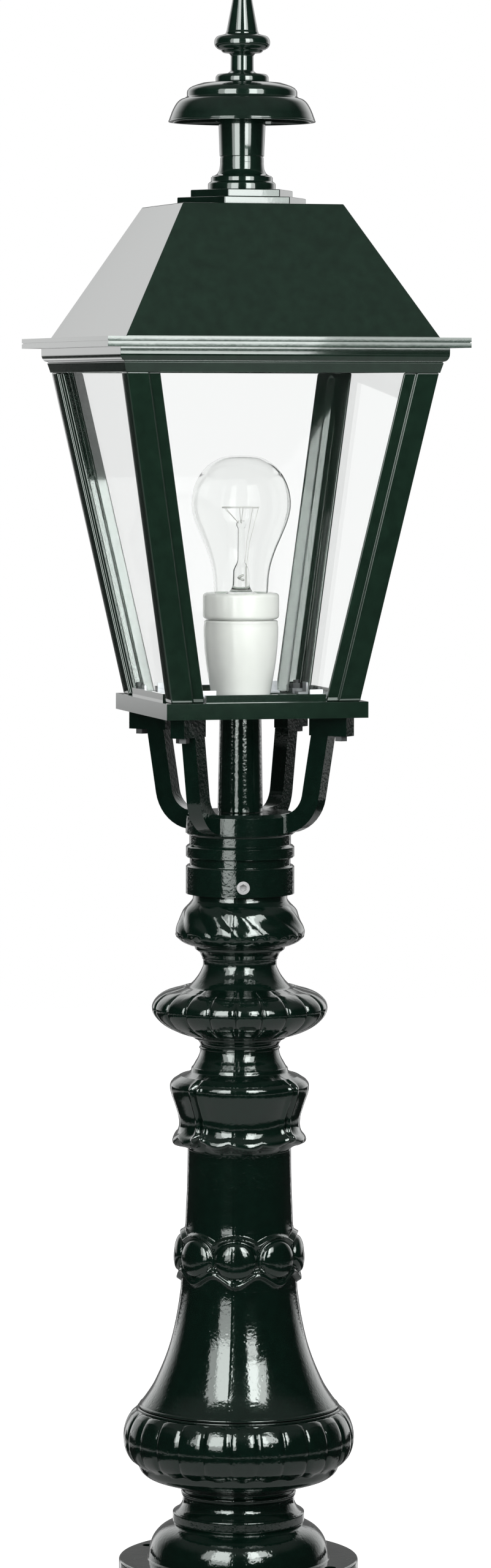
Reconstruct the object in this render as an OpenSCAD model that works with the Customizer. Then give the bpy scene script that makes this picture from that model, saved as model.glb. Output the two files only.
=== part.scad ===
// Garden lantern on a short cast pedestal, in millimetres.
// The origin is the centre of the flange's underside, +Z is up and -Y is the lantern's front.

/* [Foot] */
// Radius of the round flange that is bolted down
flange_r = 73.2; // [70:0.1:80]
// Thickness of the flange
flange_t = 12; // [9:0.5:13]
// Diameter of the circle of fixing holes
bolt_circle_d = 128; // [124:0.5:130]
// Radius of a fixing hole
bolt_hole_r = 3.5; // [2.5:0.25:4.5]
// Number of fixing holes
bolt_count = 4; // [3:1:6]
// Radius of the domed foot where it meets the flange
dome_r = 55.6; // [54:0.1:57]
// Height of the domed part above the flange
dome_h = 22; // [19:0.5:24]
// Radius of the bead above the dome
bead_r = 40.4; // [39:0.1:43]
// Height of the bead
bead_h = 7; // [5:0.5:8]
// Radius of the foot's neck
foot_neck_r = 33.8; // [32:0.1:36]
// Height of the whole foot casting
foot_h = 54; // [52:0.5:60]
// Thickness of the web at the top of the foot
foot_web_t = 8; // [6:0.5:9]
// Wall of the castings
cast_wall = 5; // [4:0.25:6]

/* [Bowl] */
// Height of the lobed bowl casting
bowl_h = 51.5; // [48:0.5:56]
// Largest radius of the bowl, over its lobes
bowl_r = 70; // [67:0.1:72]
// Radius of the plain lip above and below the lobes
bowl_lip_r = 62; // [60:0.1:64]
// Height of the band of lobes
lobe_band_h = 34; // [30:0.5:36]
// Number of lobes round the bowl
bowl_lobes = 26; // [20:1:30]
// Depth of the valleys between lobes
bowl_lobe_depth = 2.2; // [1:0.1:3]
// Thickness of the bowl's bottom
bowl_web_t = 6; // [5:0.5:7]

/* [Column] */
// Radius of the bell at its mouth
bell_r = 60; // [57:0.1:61]
// Height of the bell
bell_h = 74.5; // [70:0.5:78]
// Radius where the bell ends under the boss ring
bell_top_r = 35.8; // [35:0.1:37]
// Height of the ring of bosses
boss_band_h = 35; // [32:0.5:38]
// Radius over the bosses
boss_r = 40.2; // [39:0.1:42]
// Number of bosses
boss_count = 8; // [6:1:10]
// Radius of the shaft above the bosses
shaft_low_r = 32.8; // [32:0.1:34]
// Radius of the shaft at its top
shaft_top_r = 31.5; // [31:0.1:32]
// Height of the plain shaft
shaft_h = 46; // [36:1:54]
// Radius of the bore inside the shaft
shaft_bore_r = 25.5; // [24:0.25:26.5]

/* [Capital] */
// Radius of the leaf cup at its waist
cup_waist_r = 37; // [36.5:0.1:38]
// Radius of the leaf cup at its shoulder
cup_r = 43; // [41:0.1:45]
// Radius of the curled leaf tips
leaf_tip_r = 41; // [40:0.1:43]
// Height of the leaf cup
cup_h = 55; // [52:0.5:60]
// Number of leaves round the cup
leaf_count = 4; // [3:1:6]
// Radius of the neck under the lobed disc
low_neck_r = 24.4; // [24:0.1:27]
// Height of the neck under the lobed disc
low_neck_h = 12.5; // [11:0.5:16]
// Radius of the lobed disc
disc_r = 53.4; // [51:0.1:56]
// Height of the lobed disc
disc_h = 33; // [29:0.5:36]
// Number of lobes round the disc
disc_lobes = 20; // [16:1:24]
// Radius of the neck over the disc
high_neck_r = 22.2; // [21.5:0.1:24]
// Height of the neck over the disc
high_neck_h = 23; // [20:0.5:26]
// Radius of the leaf bell under the collar
leaf_bell_r = 39.6; // [38:0.1:42]
// Height of the leaf bell
leaf_bell_h = 28; // [25:0.5:30]
// Radius of the spigot that carries the head
spigot_r = 26; // [25:0.1:27]
// Height of the spigot
spigot_h = 26.6; // [24:0.2:30]
// Radius of the bore inside the capital
capital_bore_r = 17.5; // [15:0.25:18]

/* [Tie tube and wiring] */
// Outer radius of the threaded tube that ties the castings
tie_r = 6; // [5.5:0.1:6.5]
// Bore radius of the tie tube
tie_bore_r = 4.3; // [3.8:0.1:4.6]
// Across flats of the tie nuts
tie_nut_af = 19; // [17:0.5:21]
// Thickness of a tie nut
tie_nut_t = 6; // [5:0.5:7]
// Radius of a tie washer
tie_washer_r = 12; // [10:0.5:14]
// Thickness of a tie washer
tie_washer_t = 1.6; // [1:0.2:2]
// Radius of the internal lead
lead_r = 3.1; // [2.5:0.1:3.4]
// Width of the terminal block
block_w = 30; // [24:1:34]
// Height of the terminal block
block_h = 16; // [12:1:18]

/* [Spider] */
// Outer radius of the collar
collar_r = 32.8; // [32:0.1:34]
// Height of the collar band with the grub screws
collar_band_h = 17.3; // [15:0.1:19]
// Height of the ring above the collar band
collar_ring_h = 7.4; // [5:0.1:8]
// Depth of the two grooves of the collar
groove_depth = 2.3; // [1:0.1:3]
// Height of the lower groove
low_groove_h = 4.6; // [3:0.2:5]
// Height of the upper groove
high_groove_h = 6.8; // [5:0.1:8]
// Height of the hub drum that carries the arms
drum_h = 13.4; // [12:0.2:16]
// Radius of a grub screw
grub_r = 3.9; // [3:0.1:4.2]
// Number of grub screws
grub_count = 3; // [2:1:4]
// Angle of the first grub screw from the front
grub_angle = -12; // [-40:1:40]
// Radial depth of an arm
arm_d = 11.5; // [9:0.25:13]
// Width of an arm
arm_w = 9.5; // [8:0.25:11]
// Radius of the bend at the foot of an arm, on its centre line
arm_bend_r = 20; // [16:0.5:24]
// Outward lean of the arms in degrees
arm_lean = 9.4; // [6:0.2:12]
// Distance of the bend's centre in from the lug bolts
arm_bend_in = 38.2; // [36:0.1:39.5]
// Height of a lug under the base frame
lug_h = 11.5; // [9:0.5:13]
// Length of a lug beyond its bolt
lug_nose = 6.2; // [5:0.1:9]
// Height from the drum's top to the base frame
stem_h = 59.7; // [54:0.5:66]
// Radius of the stem sleeve at its foot
stem_low_r = 13.7; // [13:0.1:15]
// Radius of the stem sleeve at its top
stem_high_r = 12.5; // [11.5:0.1:13.5]
// Radius of the threaded nipple inside the stem
nipple_r = 5; // [4.5:0.1:5.5]

/* [Lantern body] */
// Width of the square base frame
frame_w = 124.2; // [120:0.2:128]
// Thickness of the base frame
frame_t = 9.7; // [8:0.1:11]
// Width of the ledge inside the base frame
frame_ring_w = 18; // [17:0.5:20]
// Thickness of the ledge that carries the floor plate
ledge_t = 4.3; // [3:0.1:5]
// Height of the rim in front of the panes
rim_h = 4.6; // [3:0.2:6]
// Set back of the corner posts' feet from the edge of the base frame
post_setback = 3.85; // [3:0.05:5]
// Height of the corner posts
post_h = 195.6; // [180:0.2:215]
// Width of a corner post's face
post_leg = 20.8; // [19:0.2:23]
// Width of the proud outer strip of a post's face
post_strip = 13.5; // [11:0.5:15]
// Set back of a post's inner strip
post_step = 2; // [1:0.1:2.6]
// Wall of a corner post
post_wall = 4.2; // [3.6:0.1:4.6]
// Thickness of the glass
glass_t = 3; // [2:0.25:4]
// Width over the top rails
rail_w = 200; // [197:0.5:203]
// Height of the top rails
rail_h = 14.7; // [13:0.1:17]
// How far the top rails stand out beyond the heads of the posts
rail_proud = 5; // [4.5:0.1:7]
// Thickness of the floor plate
floor_t = 2.5; // [2:0.25:3]
// Radius of the bolts in the lugs
lug_bolt_r = 2; // [1.75:0.05:2.1]
// Distance of a lug bolt from the edges of the base frame
lug_bolt_edge = 13.1; // [12.8:0.1:13.6]

/* [Roof] */
// Overhang of the square eave beyond the top rails
eave_overhang = 10; // [9.5:0.1:13]
// Thickness of the eave
eave_t = 5.9; // [5:0.1:7]
// Width of the flat ledge of the eave around the sloping roof
eave_ledge = 14.5; // [12:0.1:16.5]
// Width of the flat roof top
roof_top_w = 98.5; // [94:0.5:104]
// Height of the sloping roof
roof_h = 79.4; // [70:0.2:90]
// Thickness of the roof's sheet
sheet_t = 1.5; // [1:0.1:2]
// Radius over the corners of the lower hexagonal plate
plinth_low_r = 40.2; // [38:0.1:43]
// Radius over the corners of the upper hexagonal plate
plinth_high_r = 31.9; // [30:0.1:34]
// Thickness of each hexagonal plate
plinth_t = 4.6; // [3.5:0.1:5.5]
// Radius of the chimney
chimney_r = 13.4; // [13:0.1:14.5]
// Radius of the chimney's bore
chimney_bore_r = 11; // [10:0.1:11.4]
// Height of the chimney
chimney_h = 43.6; // [40:0.2:47]
// Radius of the canopy at its rim
canopy_r = 44.2; // [42:0.1:47]
// Height of the canopy
canopy_h = 23.4; // [22:0.2:26]
// How far the canopy's rim hangs below the chimney's top
canopy_drop = 3; // [1:0.2:5]
// Height of the finial
finial_h = 83; // [76:0.5:92]
// Radius of the finial's knob
finial_knob_r = 16.7; // [15:0.1:18]
// Radius of the finial's rod
rod_r = 3; // [2.5:0.1:3.4]

/* [Hinge] */
// Distance of a hinge from the middle of the back
hinge_x = 55; // [40:1:70]
// Length of a hinge
hinge_len = 30; // [26:0.5:40]
// Length of the middle knuckle
hinge_mid_len = 12; // [10:0.5:14]
// Radius of a knuckle
knuckle_r = 3.4; // [3:0.05:3.5]
// Radius of a hinge pin
hinge_pin_r = 1.5; // [1.2:0.05:1.7]

/* [Lamp] */
// Largest radius of the bulb
bulb_r = 30; // [27:0.25:32]
// Height of the bulb with its cap
bulb_h = 107; // [104:0.5:110]
// Radius of the bulb's neck
bulb_neck_r = 16.2; // [15:0.1:16.6]
// Radius of the bulb's screw cap
cap_r = 13.2; // [13:0.05:13.3]
// Radius of the lampholder at its foot
holder_foot_r = 17.8; // [17:0.1:19]
// Radius of the lampholder at its head
holder_head_r = 22.6; // [22:0.1:23.5]
// Height of the lampholder's body below its ring
holder_h = 46.8; // [44:0.2:50]
// Outer radius of the lampholder's ring
holder_ring_r = 23; // [22.5:0.1:24]
// Height of the lampholder's ring
holder_ring_h = 16; // [14:0.5:18]

/* [Fits] */
// Radial running clearance between the spigot and the collar
running_gap = 0.05; // [0.03:0.01:0.08]
// Radial clearance of a screw or tube in its hole
hole_gap = 0.15; // [0.1:0.01:0.2]
// Gap between two pieces that only stand beside each other
seat_gap = 0.3; // [0.2:0.05:0.4]

/* [Hidden] */
$fn = 96;

green = [0.06, 0.13, 0.1];
zinc = [0.75, 0.76, 0.78];
brass_tone = [0.78, 0.62, 0.3];
porcelain = [0.92, 0.9, 0.86];
clear = [0.85, 0.92, 0.92, 0.35];
eps = 0.01;

// Heights of the seams, from the ground up
bowl_z = foot_h;
column_z = bowl_z + bowl_h;
boss_z = column_z + bell_h;
shaft_z = boss_z + boss_band_h;
capital_z = shaft_z + shaft_h;
cup_z = capital_z + 3.5;
low_neck_z = cup_z + cup_h;
disc_z = low_neck_z + low_neck_h;
high_neck_z = disc_z + disc_h;
leaf_bell_z = high_neck_z + high_neck_h;
shoulder_z = leaf_bell_z + leaf_bell_h + 3;
spigot_top = shoulder_z + spigot_h;
collar_z = shoulder_z + seat_gap;
collar_ring_z = collar_z + collar_band_h + low_groove_h;
drum_z = collar_ring_z + collar_ring_h + high_groove_h;
drum_top = drum_z + drum_h;
hub_web_t = 11;
frame_z = drum_top + stem_h;
frame_top = frame_z + frame_t;
floor_z = frame_z + ledge_t;
floor_top = floor_z + floor_t;
rail_z = frame_top + post_h;
eave_z = rail_z + rail_h;
roof_z = eave_z + eave_t;
roof_top = roof_z + roof_h;
plinth_top = roof_top + 2 * plinth_t;
chimney_top = plinth_top + chimney_h;
canopy_z = chimney_top - canopy_drop;
finial_z = canopy_z + canopy_h;
nut_t = 3;
holder_z = floor_top + nut_t;
holder_top = holder_z + holder_h;
ring_z = holder_top + 0.5;
ring_top = ring_z + holder_ring_h;
cap_h = 22.2;
bulb_z = ring_top - cap_h - 2;

post_foot_w = frame_w - 2 * post_setback;
post_head_w = rail_w - 2 * rail_proud;
eave_w = rail_w + 2 * eave_overhang;
roof_foot_w = eave_w - 2 * eave_ledge;
// How far a corner post moves out for each millimetre of height
post_slope = (post_head_w - post_foot_w) / 2 / post_h;
function post_half(z) = post_foot_w / 2 + (z - frame_top) * post_slope;
// Distance of the outer face of the glass from the axis
function glass_half(z) = post_half(z) - post_wall - 0.2;
// How far a pane's edge stays back from the corner of the posts
glass_lap = post_leg - 6.8;
glass_top = eave_z - 5.7;
rail_in = glass_half(glass_top) + seat_gap;
gusset_in = post_half(glass_top) - glass_lap + 0.5;
lug_bolt_xy = frame_w / 2 - lug_bolt_edge;
lug_bolt_d = lug_bolt_xy * sqrt(2);
lug_end = lug_bolt_d + lug_nose;
lug_in = lug_bolt_d - 19.3;
arm_bend_d = lug_bolt_d - arm_bend_in;
clip_x = post_foot_w / 2 - 25.25;
hinge_y = rail_w / 2 + knuckle_r + 1.8;
hinge_z = eave_z - 4.9;
leaf_t = 1.6;
leaf_h = 12;
rivet_x = hinge_mid_len / 2 - 2.6;
hinge_screw_x = hinge_mid_len / 2 + 4.2;
hinge_screw_z = rail_z + 3.8;
gusset_out = rail_in - 0.1;
rail_screw_x = gusset_in + 2.4;
rail_screw_y = gusset_out - 2.4;
rail_flange_t = 4.5;
cleat_t = 2.5;
grub_z = collar_z + 6;
// Where the bosses and the leaves begin, so that they face as on the real one
boss_angle = 251.4 - 22.5;
leaf_angle = 260 - 45;
bracket_z = foot_h - foot_web_t - 1.5;
tie_low = bracket_z - tie_washer_t - tie_nut_t - 3;
tie_top = spigot_top + tie_washer_t + tie_nut_t + 1;
earth_x = 19;
block_z = 9;
block_x = -5;
leg_x = 14;
shell_r = cap_r + 0.85;
canopy_wall = 2;
canopy_ceiling = canopy_z + canopy_h - 4.4;
// Height of the spoked web inside the chimney that the canopy stands on
web_top = chimney_top - 8;
rod_low = roof_top - sheet_t - 2.5 - 5 - 2;

// Points of an arc of an ellipse, from angle a0 to a1
function arc(c, r, a0, a1, n = 8) =
    [for (i = [0 : n]) let(a = a0 + (a1 - a0) * i / n) [c[0] + r[0] * cos(a), c[1] + r[1] * sin(a)]];
function polar(r, a, z) = [r * cos(a), r * sin(a), z];
// Corners of a square of half width h, turned to start at the front left
function square_at(h, z) = [[-h, -h, z], [h, -h, z], [h, h, z], [-h, h, z]];

// A closed ring whose skin runs through rings of points, bottom to top outside, then back inside
module ring_solid(rings) {
    n = len(rings);
    m = len(rings[0]);
    polyhedron(
        points = [for (ring = rings) each ring],
        faces = [for (i = [0 : n - 1], j = [0 : m - 1])
            let(a = i * m + j, b = i * m + (j + 1) % m, up = ((i + 1) % n) * m)
            each [[a, up + (j + 1) % m, b], [a, up + j, up + (j + 1) % m]]]);
}

// A prism between two outlines of the same number of points
module loft(low, high) {
    n = len(low);
    polyhedron(
        points = concat(low, high),
        faces = concat([[for (i = [0 : n - 1]) i]], [[for (i = [n - 1 : -1 : 0]) n + i]],
            [for (i = [0 : n - 1]) [i, n + i, n + (i + 1) % n, (i + 1) % n]]));
}

module turned(points) {
    rotate_extrude() polygon(points);
}

module corners(d) {
    for (sx = [-1, 1], sy = [-1, 1])
        translate([sx * d, sy * d, 0]) children();
}

module hex_nut(af, t, bore) {
    difference() {
        cylinder(r = af / sqrt(3), h = t, $fn = 6);
        translate([0, 0, -1]) cylinder(r = bore, h = t + 2);
    }
}

module foot() {
    bead_z = flange_t + dome_h;
    cove_h = foot_h - 4 - bead_z - bead_h;
    web_z = foot_h - foot_web_t;
    color(green) difference() {
        turned(concat(
            [[0, 0], [flange_r, 0]],
            arc([flange_r - 2, flange_t - 2], [2, 2], 0, 90, 4),
            arc([bead_r, flange_t], [dome_r - bead_r, dome_h], 0, 90, 10),
            arc([bead_r - 1.5, bead_z + bead_h / 2], [2, bead_h / 2 - 0.5], -80, 80, 6),
            arc([bead_r - 0.5, bead_z + bead_h + cove_h], [bead_r - 0.5 - foot_neck_r, cove_h], -90, -180, 6),
            arc([foot_neck_r, foot_h - 2], [1.4, 2], -90, 90, 4),
            [[0, foot_h]]));
        turned([[0, -1], [dome_r - cast_wall, -1], [dome_r - cast_wall, flange_t],
            [dome_r - cast_wall - 3, flange_t + dome_h * 0.5], [bead_r - cast_wall + 4, flange_t + dome_h * 0.82],
            [bead_r - cast_wall, bead_z + 1], [foot_neck_r - cast_wall, web_z], [0, web_z]]);
        translate([0, 0, -1]) cylinder(r = tie_r + hole_gap, h = foot_h + 2);
        for (i = [0 : bolt_count - 1])
            rotate([0, 0, 45 + i * 360 / bolt_count])
                translate([bolt_circle_d / 2, 0, -1]) cylinder(r = bolt_hole_r, h = flange_t + 2);
        translate([-earth_x, 0, web_z - 1]) cylinder(r = 2.5 + hole_gap, h = 6);
    }
}

module bowl() {
    lobe_low = bowl_z + 16;
    zc = lobe_low + lobe_band_h / 2;
    steps = 8;
    cols = bowl_lobes * 4;
    in_r = bowl_lip_r - 4;
    skin = [for (i = [0 : steps]) let(f = -90 + 180 * i / steps)
        [for (j = [0 : cols - 1]) let(a = j * 360 / cols)
            polar(bowl_lip_r + 0.6 + (bowl_r - bowl_lip_r - 0.6) * cos(f)
                - bowl_lobe_depth * cos(f) * (1 - abs(cos(bowl_lobes * a / 2))),
                a, zc + lobe_band_h / 2 * sin(f))]];
    inner = [for (z = [lobe_low + lobe_band_h, lobe_low])
        [for (j = [0 : cols - 1]) polar(in_r - 1, j * 360 / cols, z)]];
    color(green) union() {
        difference() {
            turned(concat(
                [[0, bowl_z], [foot_neck_r + 1.2, bowl_z]],
                [[foot_neck_r + 3, bowl_z + 3], [bowl_lip_r - 8, bowl_z + 8.5], [bowl_lip_r - 6, bowl_z + 10],
                [bowl_lip_r - 1.5, bowl_z + 14], [bowl_lip_r - 0.6, bowl_z + 16], [in_r, bowl_z + 16],
                [in_r, column_z - 2], [bowl_lip_r - 0.5, column_z - 2]],
                arc([bowl_lip_r - 0.6, column_z - 1], [0.8, 1], -90, 90, 4),
                [[0, column_z]]));
            turned([[0, bowl_z + bowl_web_t], [foot_neck_r - cast_wall, bowl_z + bowl_web_t],
                [in_r - cast_wall - 4, bowl_z + 16], [in_r - cast_wall, bowl_z + 22],
                [in_r - cast_wall, column_z + 1], [0, column_z + 1]]);
            translate([0, 0, bowl_z - 1]) cylinder(r = tie_r + hole_gap, h = bowl_web_t + 2);
        }
        ring_solid(concat(skin, inner));
    }
}

module column() {
    // The boss ring: each boss swells from the ring, over a scalloped lower lip
    cols = boss_count * 10;
    rows = [0, 0.1, 0.25, 0.45, 0.65, 0.85, 1];
    function s(j) = (j % 10) / 5 - 1;
    function low_z(j) = boss_z + 1.5 + 5 * pow(abs(s(j)), 1.5);
    function high_z(j) = shaft_z - 1.5 - 3.5 * pow(abs(s(j)), 2);
    skin = [for (v = rows)
        [for (j = [0 : cols - 1]) let(
            rise = pow(cos(90 * s(j)), 0.6) * pow(sin(180 * v), 0.55),
            base = bell_top_r + 0.9 - (bell_top_r - shaft_low_r + 0.4) * v)
            polar(base + (boss_r - bell_top_r + 1.2) * rise + (v > 0 && v < 0.3 ? 0.9 : 0) * (1 - rise),
                boss_angle + j * 360 / cols, low_z(j) + (high_z(j) - low_z(j)) * v)]];
    inner = [for (z = [shaft_z - 6, boss_z + 8])
        [for (j = [0 : cols - 1]) polar(shaft_low_r - 2, boss_angle + j * 360 / cols, z)]];
    steps = 12;
    color(green) union() {
        difference() {
            turned(concat(
                [[0, column_z]],
                [for (i = [0 : steps]) let(t = i / steps)
                    [bell_top_r + (bell_r - bell_top_r) * pow(1 - t, 1.85), column_z + bell_h * t]],
                [[bell_top_r, boss_z + 8], [shaft_low_r, shaft_z - 6], [shaft_low_r, shaft_z],
                [(shaft_low_r + shaft_top_r * 2) / 3, shaft_z + shaft_h * 0.4],
                [shaft_top_r, capital_z], [0, capital_z]]));
            turned(concat(
                [[0, column_z - 1], [bell_r - cast_wall - 2, column_z - 1]],
                [for (i = [0 : steps / 2]) let(t = i / (steps / 2))
                    [shaft_bore_r + (bell_r - cast_wall - 2 - shaft_bore_r) * pow(1 - t, 1.7),
                    column_z + (bell_h - 6) * t]],
                [[shaft_bore_r, capital_z - 8], [0, capital_z - 8]]));
            translate([0, 0, capital_z - 9]) cylinder(r = tie_r + hole_gap, h = 10);
        }
        ring_solid(concat(skin, inner));
    }
}

// The leaf cup: an outline of radius and height that is swept round with lobed lower tips
module leaf_cup() {
    cols = 64;
    per = cols / leaf_count;
    outline = [[cup_waist_r - 3, 1], [leaf_tip_r - 1.6, 3], [leaf_tip_r, 5.5], [leaf_tip_r - 0.8, 8],
        [cup_waist_r + 1.4, 10.5], [cup_waist_r, 14], [cup_waist_r + 1.5, 21.5], [(cup_waist_r + cup_r) / 2, 26.2],
        [cup_r - 0.9, 30.5], [cup_r, 36], [cup_r - 0.7, 39.5], [cup_r - 2.4, 41.5], [cup_r - 6.2, 44.2],
        [cup_r - 10.2, 46.5], [low_neck_r + 5, 48.5], [low_neck_r + 4.1, 51], [low_neck_r + 1.6, cup_h]];
    skin = [for (k = [0 : len(outline) - 1])
        [for (j = [0 : cols - 1]) let(
            s = (j % per) / per * 2 - 1,
            low = 1 - min(1, k / 5),
            notch = 4 * low * pow(abs(s), 3) + 1.6 * low * pow(sin(s * 540), 2),
            fold = 1 - 0.05 * (k < 9 ? 1 : 0) * pow(abs(s), 6))
            polar(outline[k][0] * fold, leaf_angle + j * 360 / cols, cup_z + outline[k][1] + notch)]];
    inner = [for (z = [cup_z + cup_h, cup_z + 9])
        [for (j = [0 : cols - 1]) polar(low_neck_r - 2, leaf_angle + j * 360 / cols, z)]];
    ring_solid(concat(skin, inner));
}

module lobed_disc() {
    cols = disc_lobes * 4;
    edge_r = low_neck_r + 6;
    steps = 8;
    skin = [for (i = [0 : steps]) let(f = -90 + 180 * i / steps)
        [for (j = [0 : cols - 1]) let(a = j * 360 / cols)
            polar(edge_r + (disc_r - edge_r) * pow(cos(f), 1.6)
                - 2.4 * cos(f) * (1 - abs(cos(disc_lobes * a / 2))),
                a, disc_z + disc_h / 2 + disc_h / 2 * sin(f))]];
    inner = [for (z = [disc_z + disc_h, disc_z])
        [for (j = [0 : cols - 1]) polar(high_neck_r - 2.2, j * 360 / cols, z)]];
    ring_solid(concat(skin, inner));
}

module leaf_bell() {
    cols = 64;
    outline = [[high_neck_r + 6.5, 0], [leaf_bell_r - 7, 1.5], [leaf_bell_r - 2.3, 3.7], [leaf_bell_r - 0.5, 6],
        [leaf_bell_r, 8.2], [leaf_bell_r - 0.4, 10.6], [leaf_bell_r - 1.2, 12.8], [leaf_bell_r - 3.3, 17],
        [leaf_bell_r - 5.1, 21.6], [collar_r + 0.3, 24], [collar_r - 1.9, 26], [collar_r - 4, leaf_bell_h]];
    skin = [for (k = [0 : len(outline) - 1])
        [for (j = [0 : cols - 1]) let(
            w = (k > 1 && k < 8) ? 1.1 * pow(sin(j * 360 / cols * 4), 2) : 0)
            polar(outline[k][0] - w, j * 360 / cols, leaf_bell_z + outline[k][1])]];
    inner = [for (z = [leaf_bell_z + leaf_bell_h, leaf_bell_z])
        [for (j = [0 : cols - 1]) polar(high_neck_r - 2.2, j * 360 / cols, z)]];
    ring_solid(concat(skin, inner));
}

module capital() {
    neck_c = (high_neck_z + leaf_bell_z) / 2;
    color(green) union() {
        difference() {
            turned([
                [0, capital_z], [shaft_top_r, capital_z], [shaft_top_r, cup_z + 12], [low_neck_r + 2, cup_z + 46],
                [low_neck_r - 0.5, cup_z + 51], [low_neck_r - 0.5, low_neck_z - 1], [low_neck_r + 1.8, low_neck_z - 1],
                [low_neck_r + 0.9, low_neck_z + 1], [low_neck_r, low_neck_z + 3], [low_neck_r, disc_z - 4.3],
                [low_neck_r + 3.4, disc_z - 1.3], [low_neck_r + 4, disc_z + 1], [high_neck_r + 1.5, disc_z + 6],
                [high_neck_r + 1.5, high_neck_z - 1], [high_neck_r + 6.5, high_neck_z - 1],
                [high_neck_r + 5, high_neck_z + 3], [high_neck_r + 2, high_neck_z + 8], [high_neck_r, neck_c + 0.5],
                [high_neck_r, neck_c + 4], [high_neck_r + 1.6, leaf_bell_z - 6], [high_neck_r + 5, leaf_bell_z - 1.5],
                [high_neck_r + 5, leaf_bell_z + 1], [high_neck_r + 1, leaf_bell_z + 3],
                [spigot_r - 1, shoulder_z - 8], [collar_r - 4.2, shoulder_z - 4], [collar_r - 4.2, shoulder_z],
                [spigot_r, shoulder_z], [spigot_r, spigot_top - 1], [spigot_r - 1, spigot_top], [0, spigot_top]]);
            turned([[0, capital_z + 8], [capital_bore_r, capital_z + 8], [capital_bore_r, spigot_top - 10],
                [0, spigot_top - 10]]);
            translate([0, 0, capital_z - 1]) cylinder(r = tie_r + hole_gap, h = spigot_top - capital_z + 2);
        }
        leaf_cup();
        lobed_disc();
        leaf_bell();
    }
}

module tie_tube() {
    color(zinc) difference() {
        translate([0, 0, tie_low]) cylinder(r = tie_r, h = tie_top - tie_low);
        translate([0, 0, tie_low - 1]) cylinder(r = tie_bore_r, h = tie_top - tie_low + 2);
    }
}

module tie_nuts() {
    color(zinc) {
        translate([0, 0, bracket_z - tie_washer_t - tie_nut_t]) hex_nut(tie_nut_af, tie_nut_t, tie_r + 0.05);
        translate([0, 0, spigot_top + tie_washer_t]) hex_nut(tie_nut_af, tie_nut_t, tie_r + 0.05);
    }
}

module tie_washers() {
    color(zinc) for (z = [bracket_z - tie_washer_t, spigot_top]) difference() {
        translate([0, 0, z]) cylinder(r = tie_washer_r, h = tie_washer_t);
        translate([0, 0, z - 1]) cylinder(r = tie_r + hole_gap, h = tie_washer_t + 2);
    }
}

module terminal_bracket() {
    color(zinc) union() {
        difference() {
            translate([-10, -9, bracket_z]) cube([leg_x + 11.5, 18, 1.5]);
            translate([0, 0, bracket_z - 1]) cylinder(r = tie_r + hole_gap, h = 4);
        }
        translate([leg_x, -9, block_z - 1]) cube([1.5, 18, bracket_z - block_z + 1 + 0.5]);
    }
}

module terminal_block() {
    color([0.9, 0.9, 0.88]) difference() {
        translate([block_x, -block_w / 2, block_z]) cube([leg_x - block_x, block_w, block_h]);
        for (y = [-0.3, 0, 0.3], z = [0.25, 0.75])
            translate([block_x - 1, y * block_w, block_z + z * block_h])
                rotate([0, 90, 0]) cylinder(r = 2 + hole_gap, h = 5);
    }
}

module terminal_screws() {
    color(brass_tone) for (y = [-0.3, 0, 0.3], z = [0.25, 0.75])
        translate([block_x + 0.3, y * block_w, block_z + z * block_h]) rotate([0, 90, 0]) difference() {
            cylinder(r = 2, h = 3.6);
            translate([-0.4, -3, -1]) cube([0.8, 6, 1.8]);
        }
}

module earth_screw() {
    z = foot_h - foot_web_t;
    color(brass_tone) translate([-earth_x, 0, 0]) difference() {
        union() {
            translate([0, 0, z - 6]) cylinder(r = 2.5, h = 10.5);
            translate([0, 0, z - 3]) cylinder(r = 4.6, h = 3);
            translate([0, 0, z - 8]) cylinder(r = 4, h = 2.5);
        }
        translate([-5, -0.5, z - 9]) cube([10, 1, 2]);
    }
}

module inner_lead() {
    color([0.12, 0.12, 0.12]) translate([0, 0, block_z + block_h])
        cylinder(r = lead_r, h = holder_z + 15 - block_z - block_h);
}

module arm() {
    // Outline seen from the side: out of the drum, round the bend and up the lean into the lug
    bend_z = drum_top - 6 + arm_bend_r;
    centre = [arm_bend_d, bend_z];
    out_r = arm_bend_r + arm_d / 2;
    in_r = arm_bend_r - arm_d / 2;
    root = collar_r * 0.7;
    function top(r) = let(z = frame_z - lug_h / 2)
        [arm_bend_d + r / cos(arm_lean) + (z - bend_z) * tan(arm_lean), z];
    outer = arc(centre, [out_r, out_r], -90, -arm_lean, 10);
    inner = arc(centre, [in_r, in_r], -arm_lean, -90, 8);
    rotate([0, 0, 45]) {
        translate([0, arm_w / 2, 0]) rotate([90, 0, 0]) linear_extrude(height = arm_w)
            polygon(concat([[root, bend_z - out_r]], outer, [top(out_r), top(in_r)], inner, [[root, bend_z - in_r]]));
        translate([lug_in, -arm_w / 2, frame_z - lug_h]) cube([lug_end - lug_in, arm_w, lug_h]);
    }
}

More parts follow.
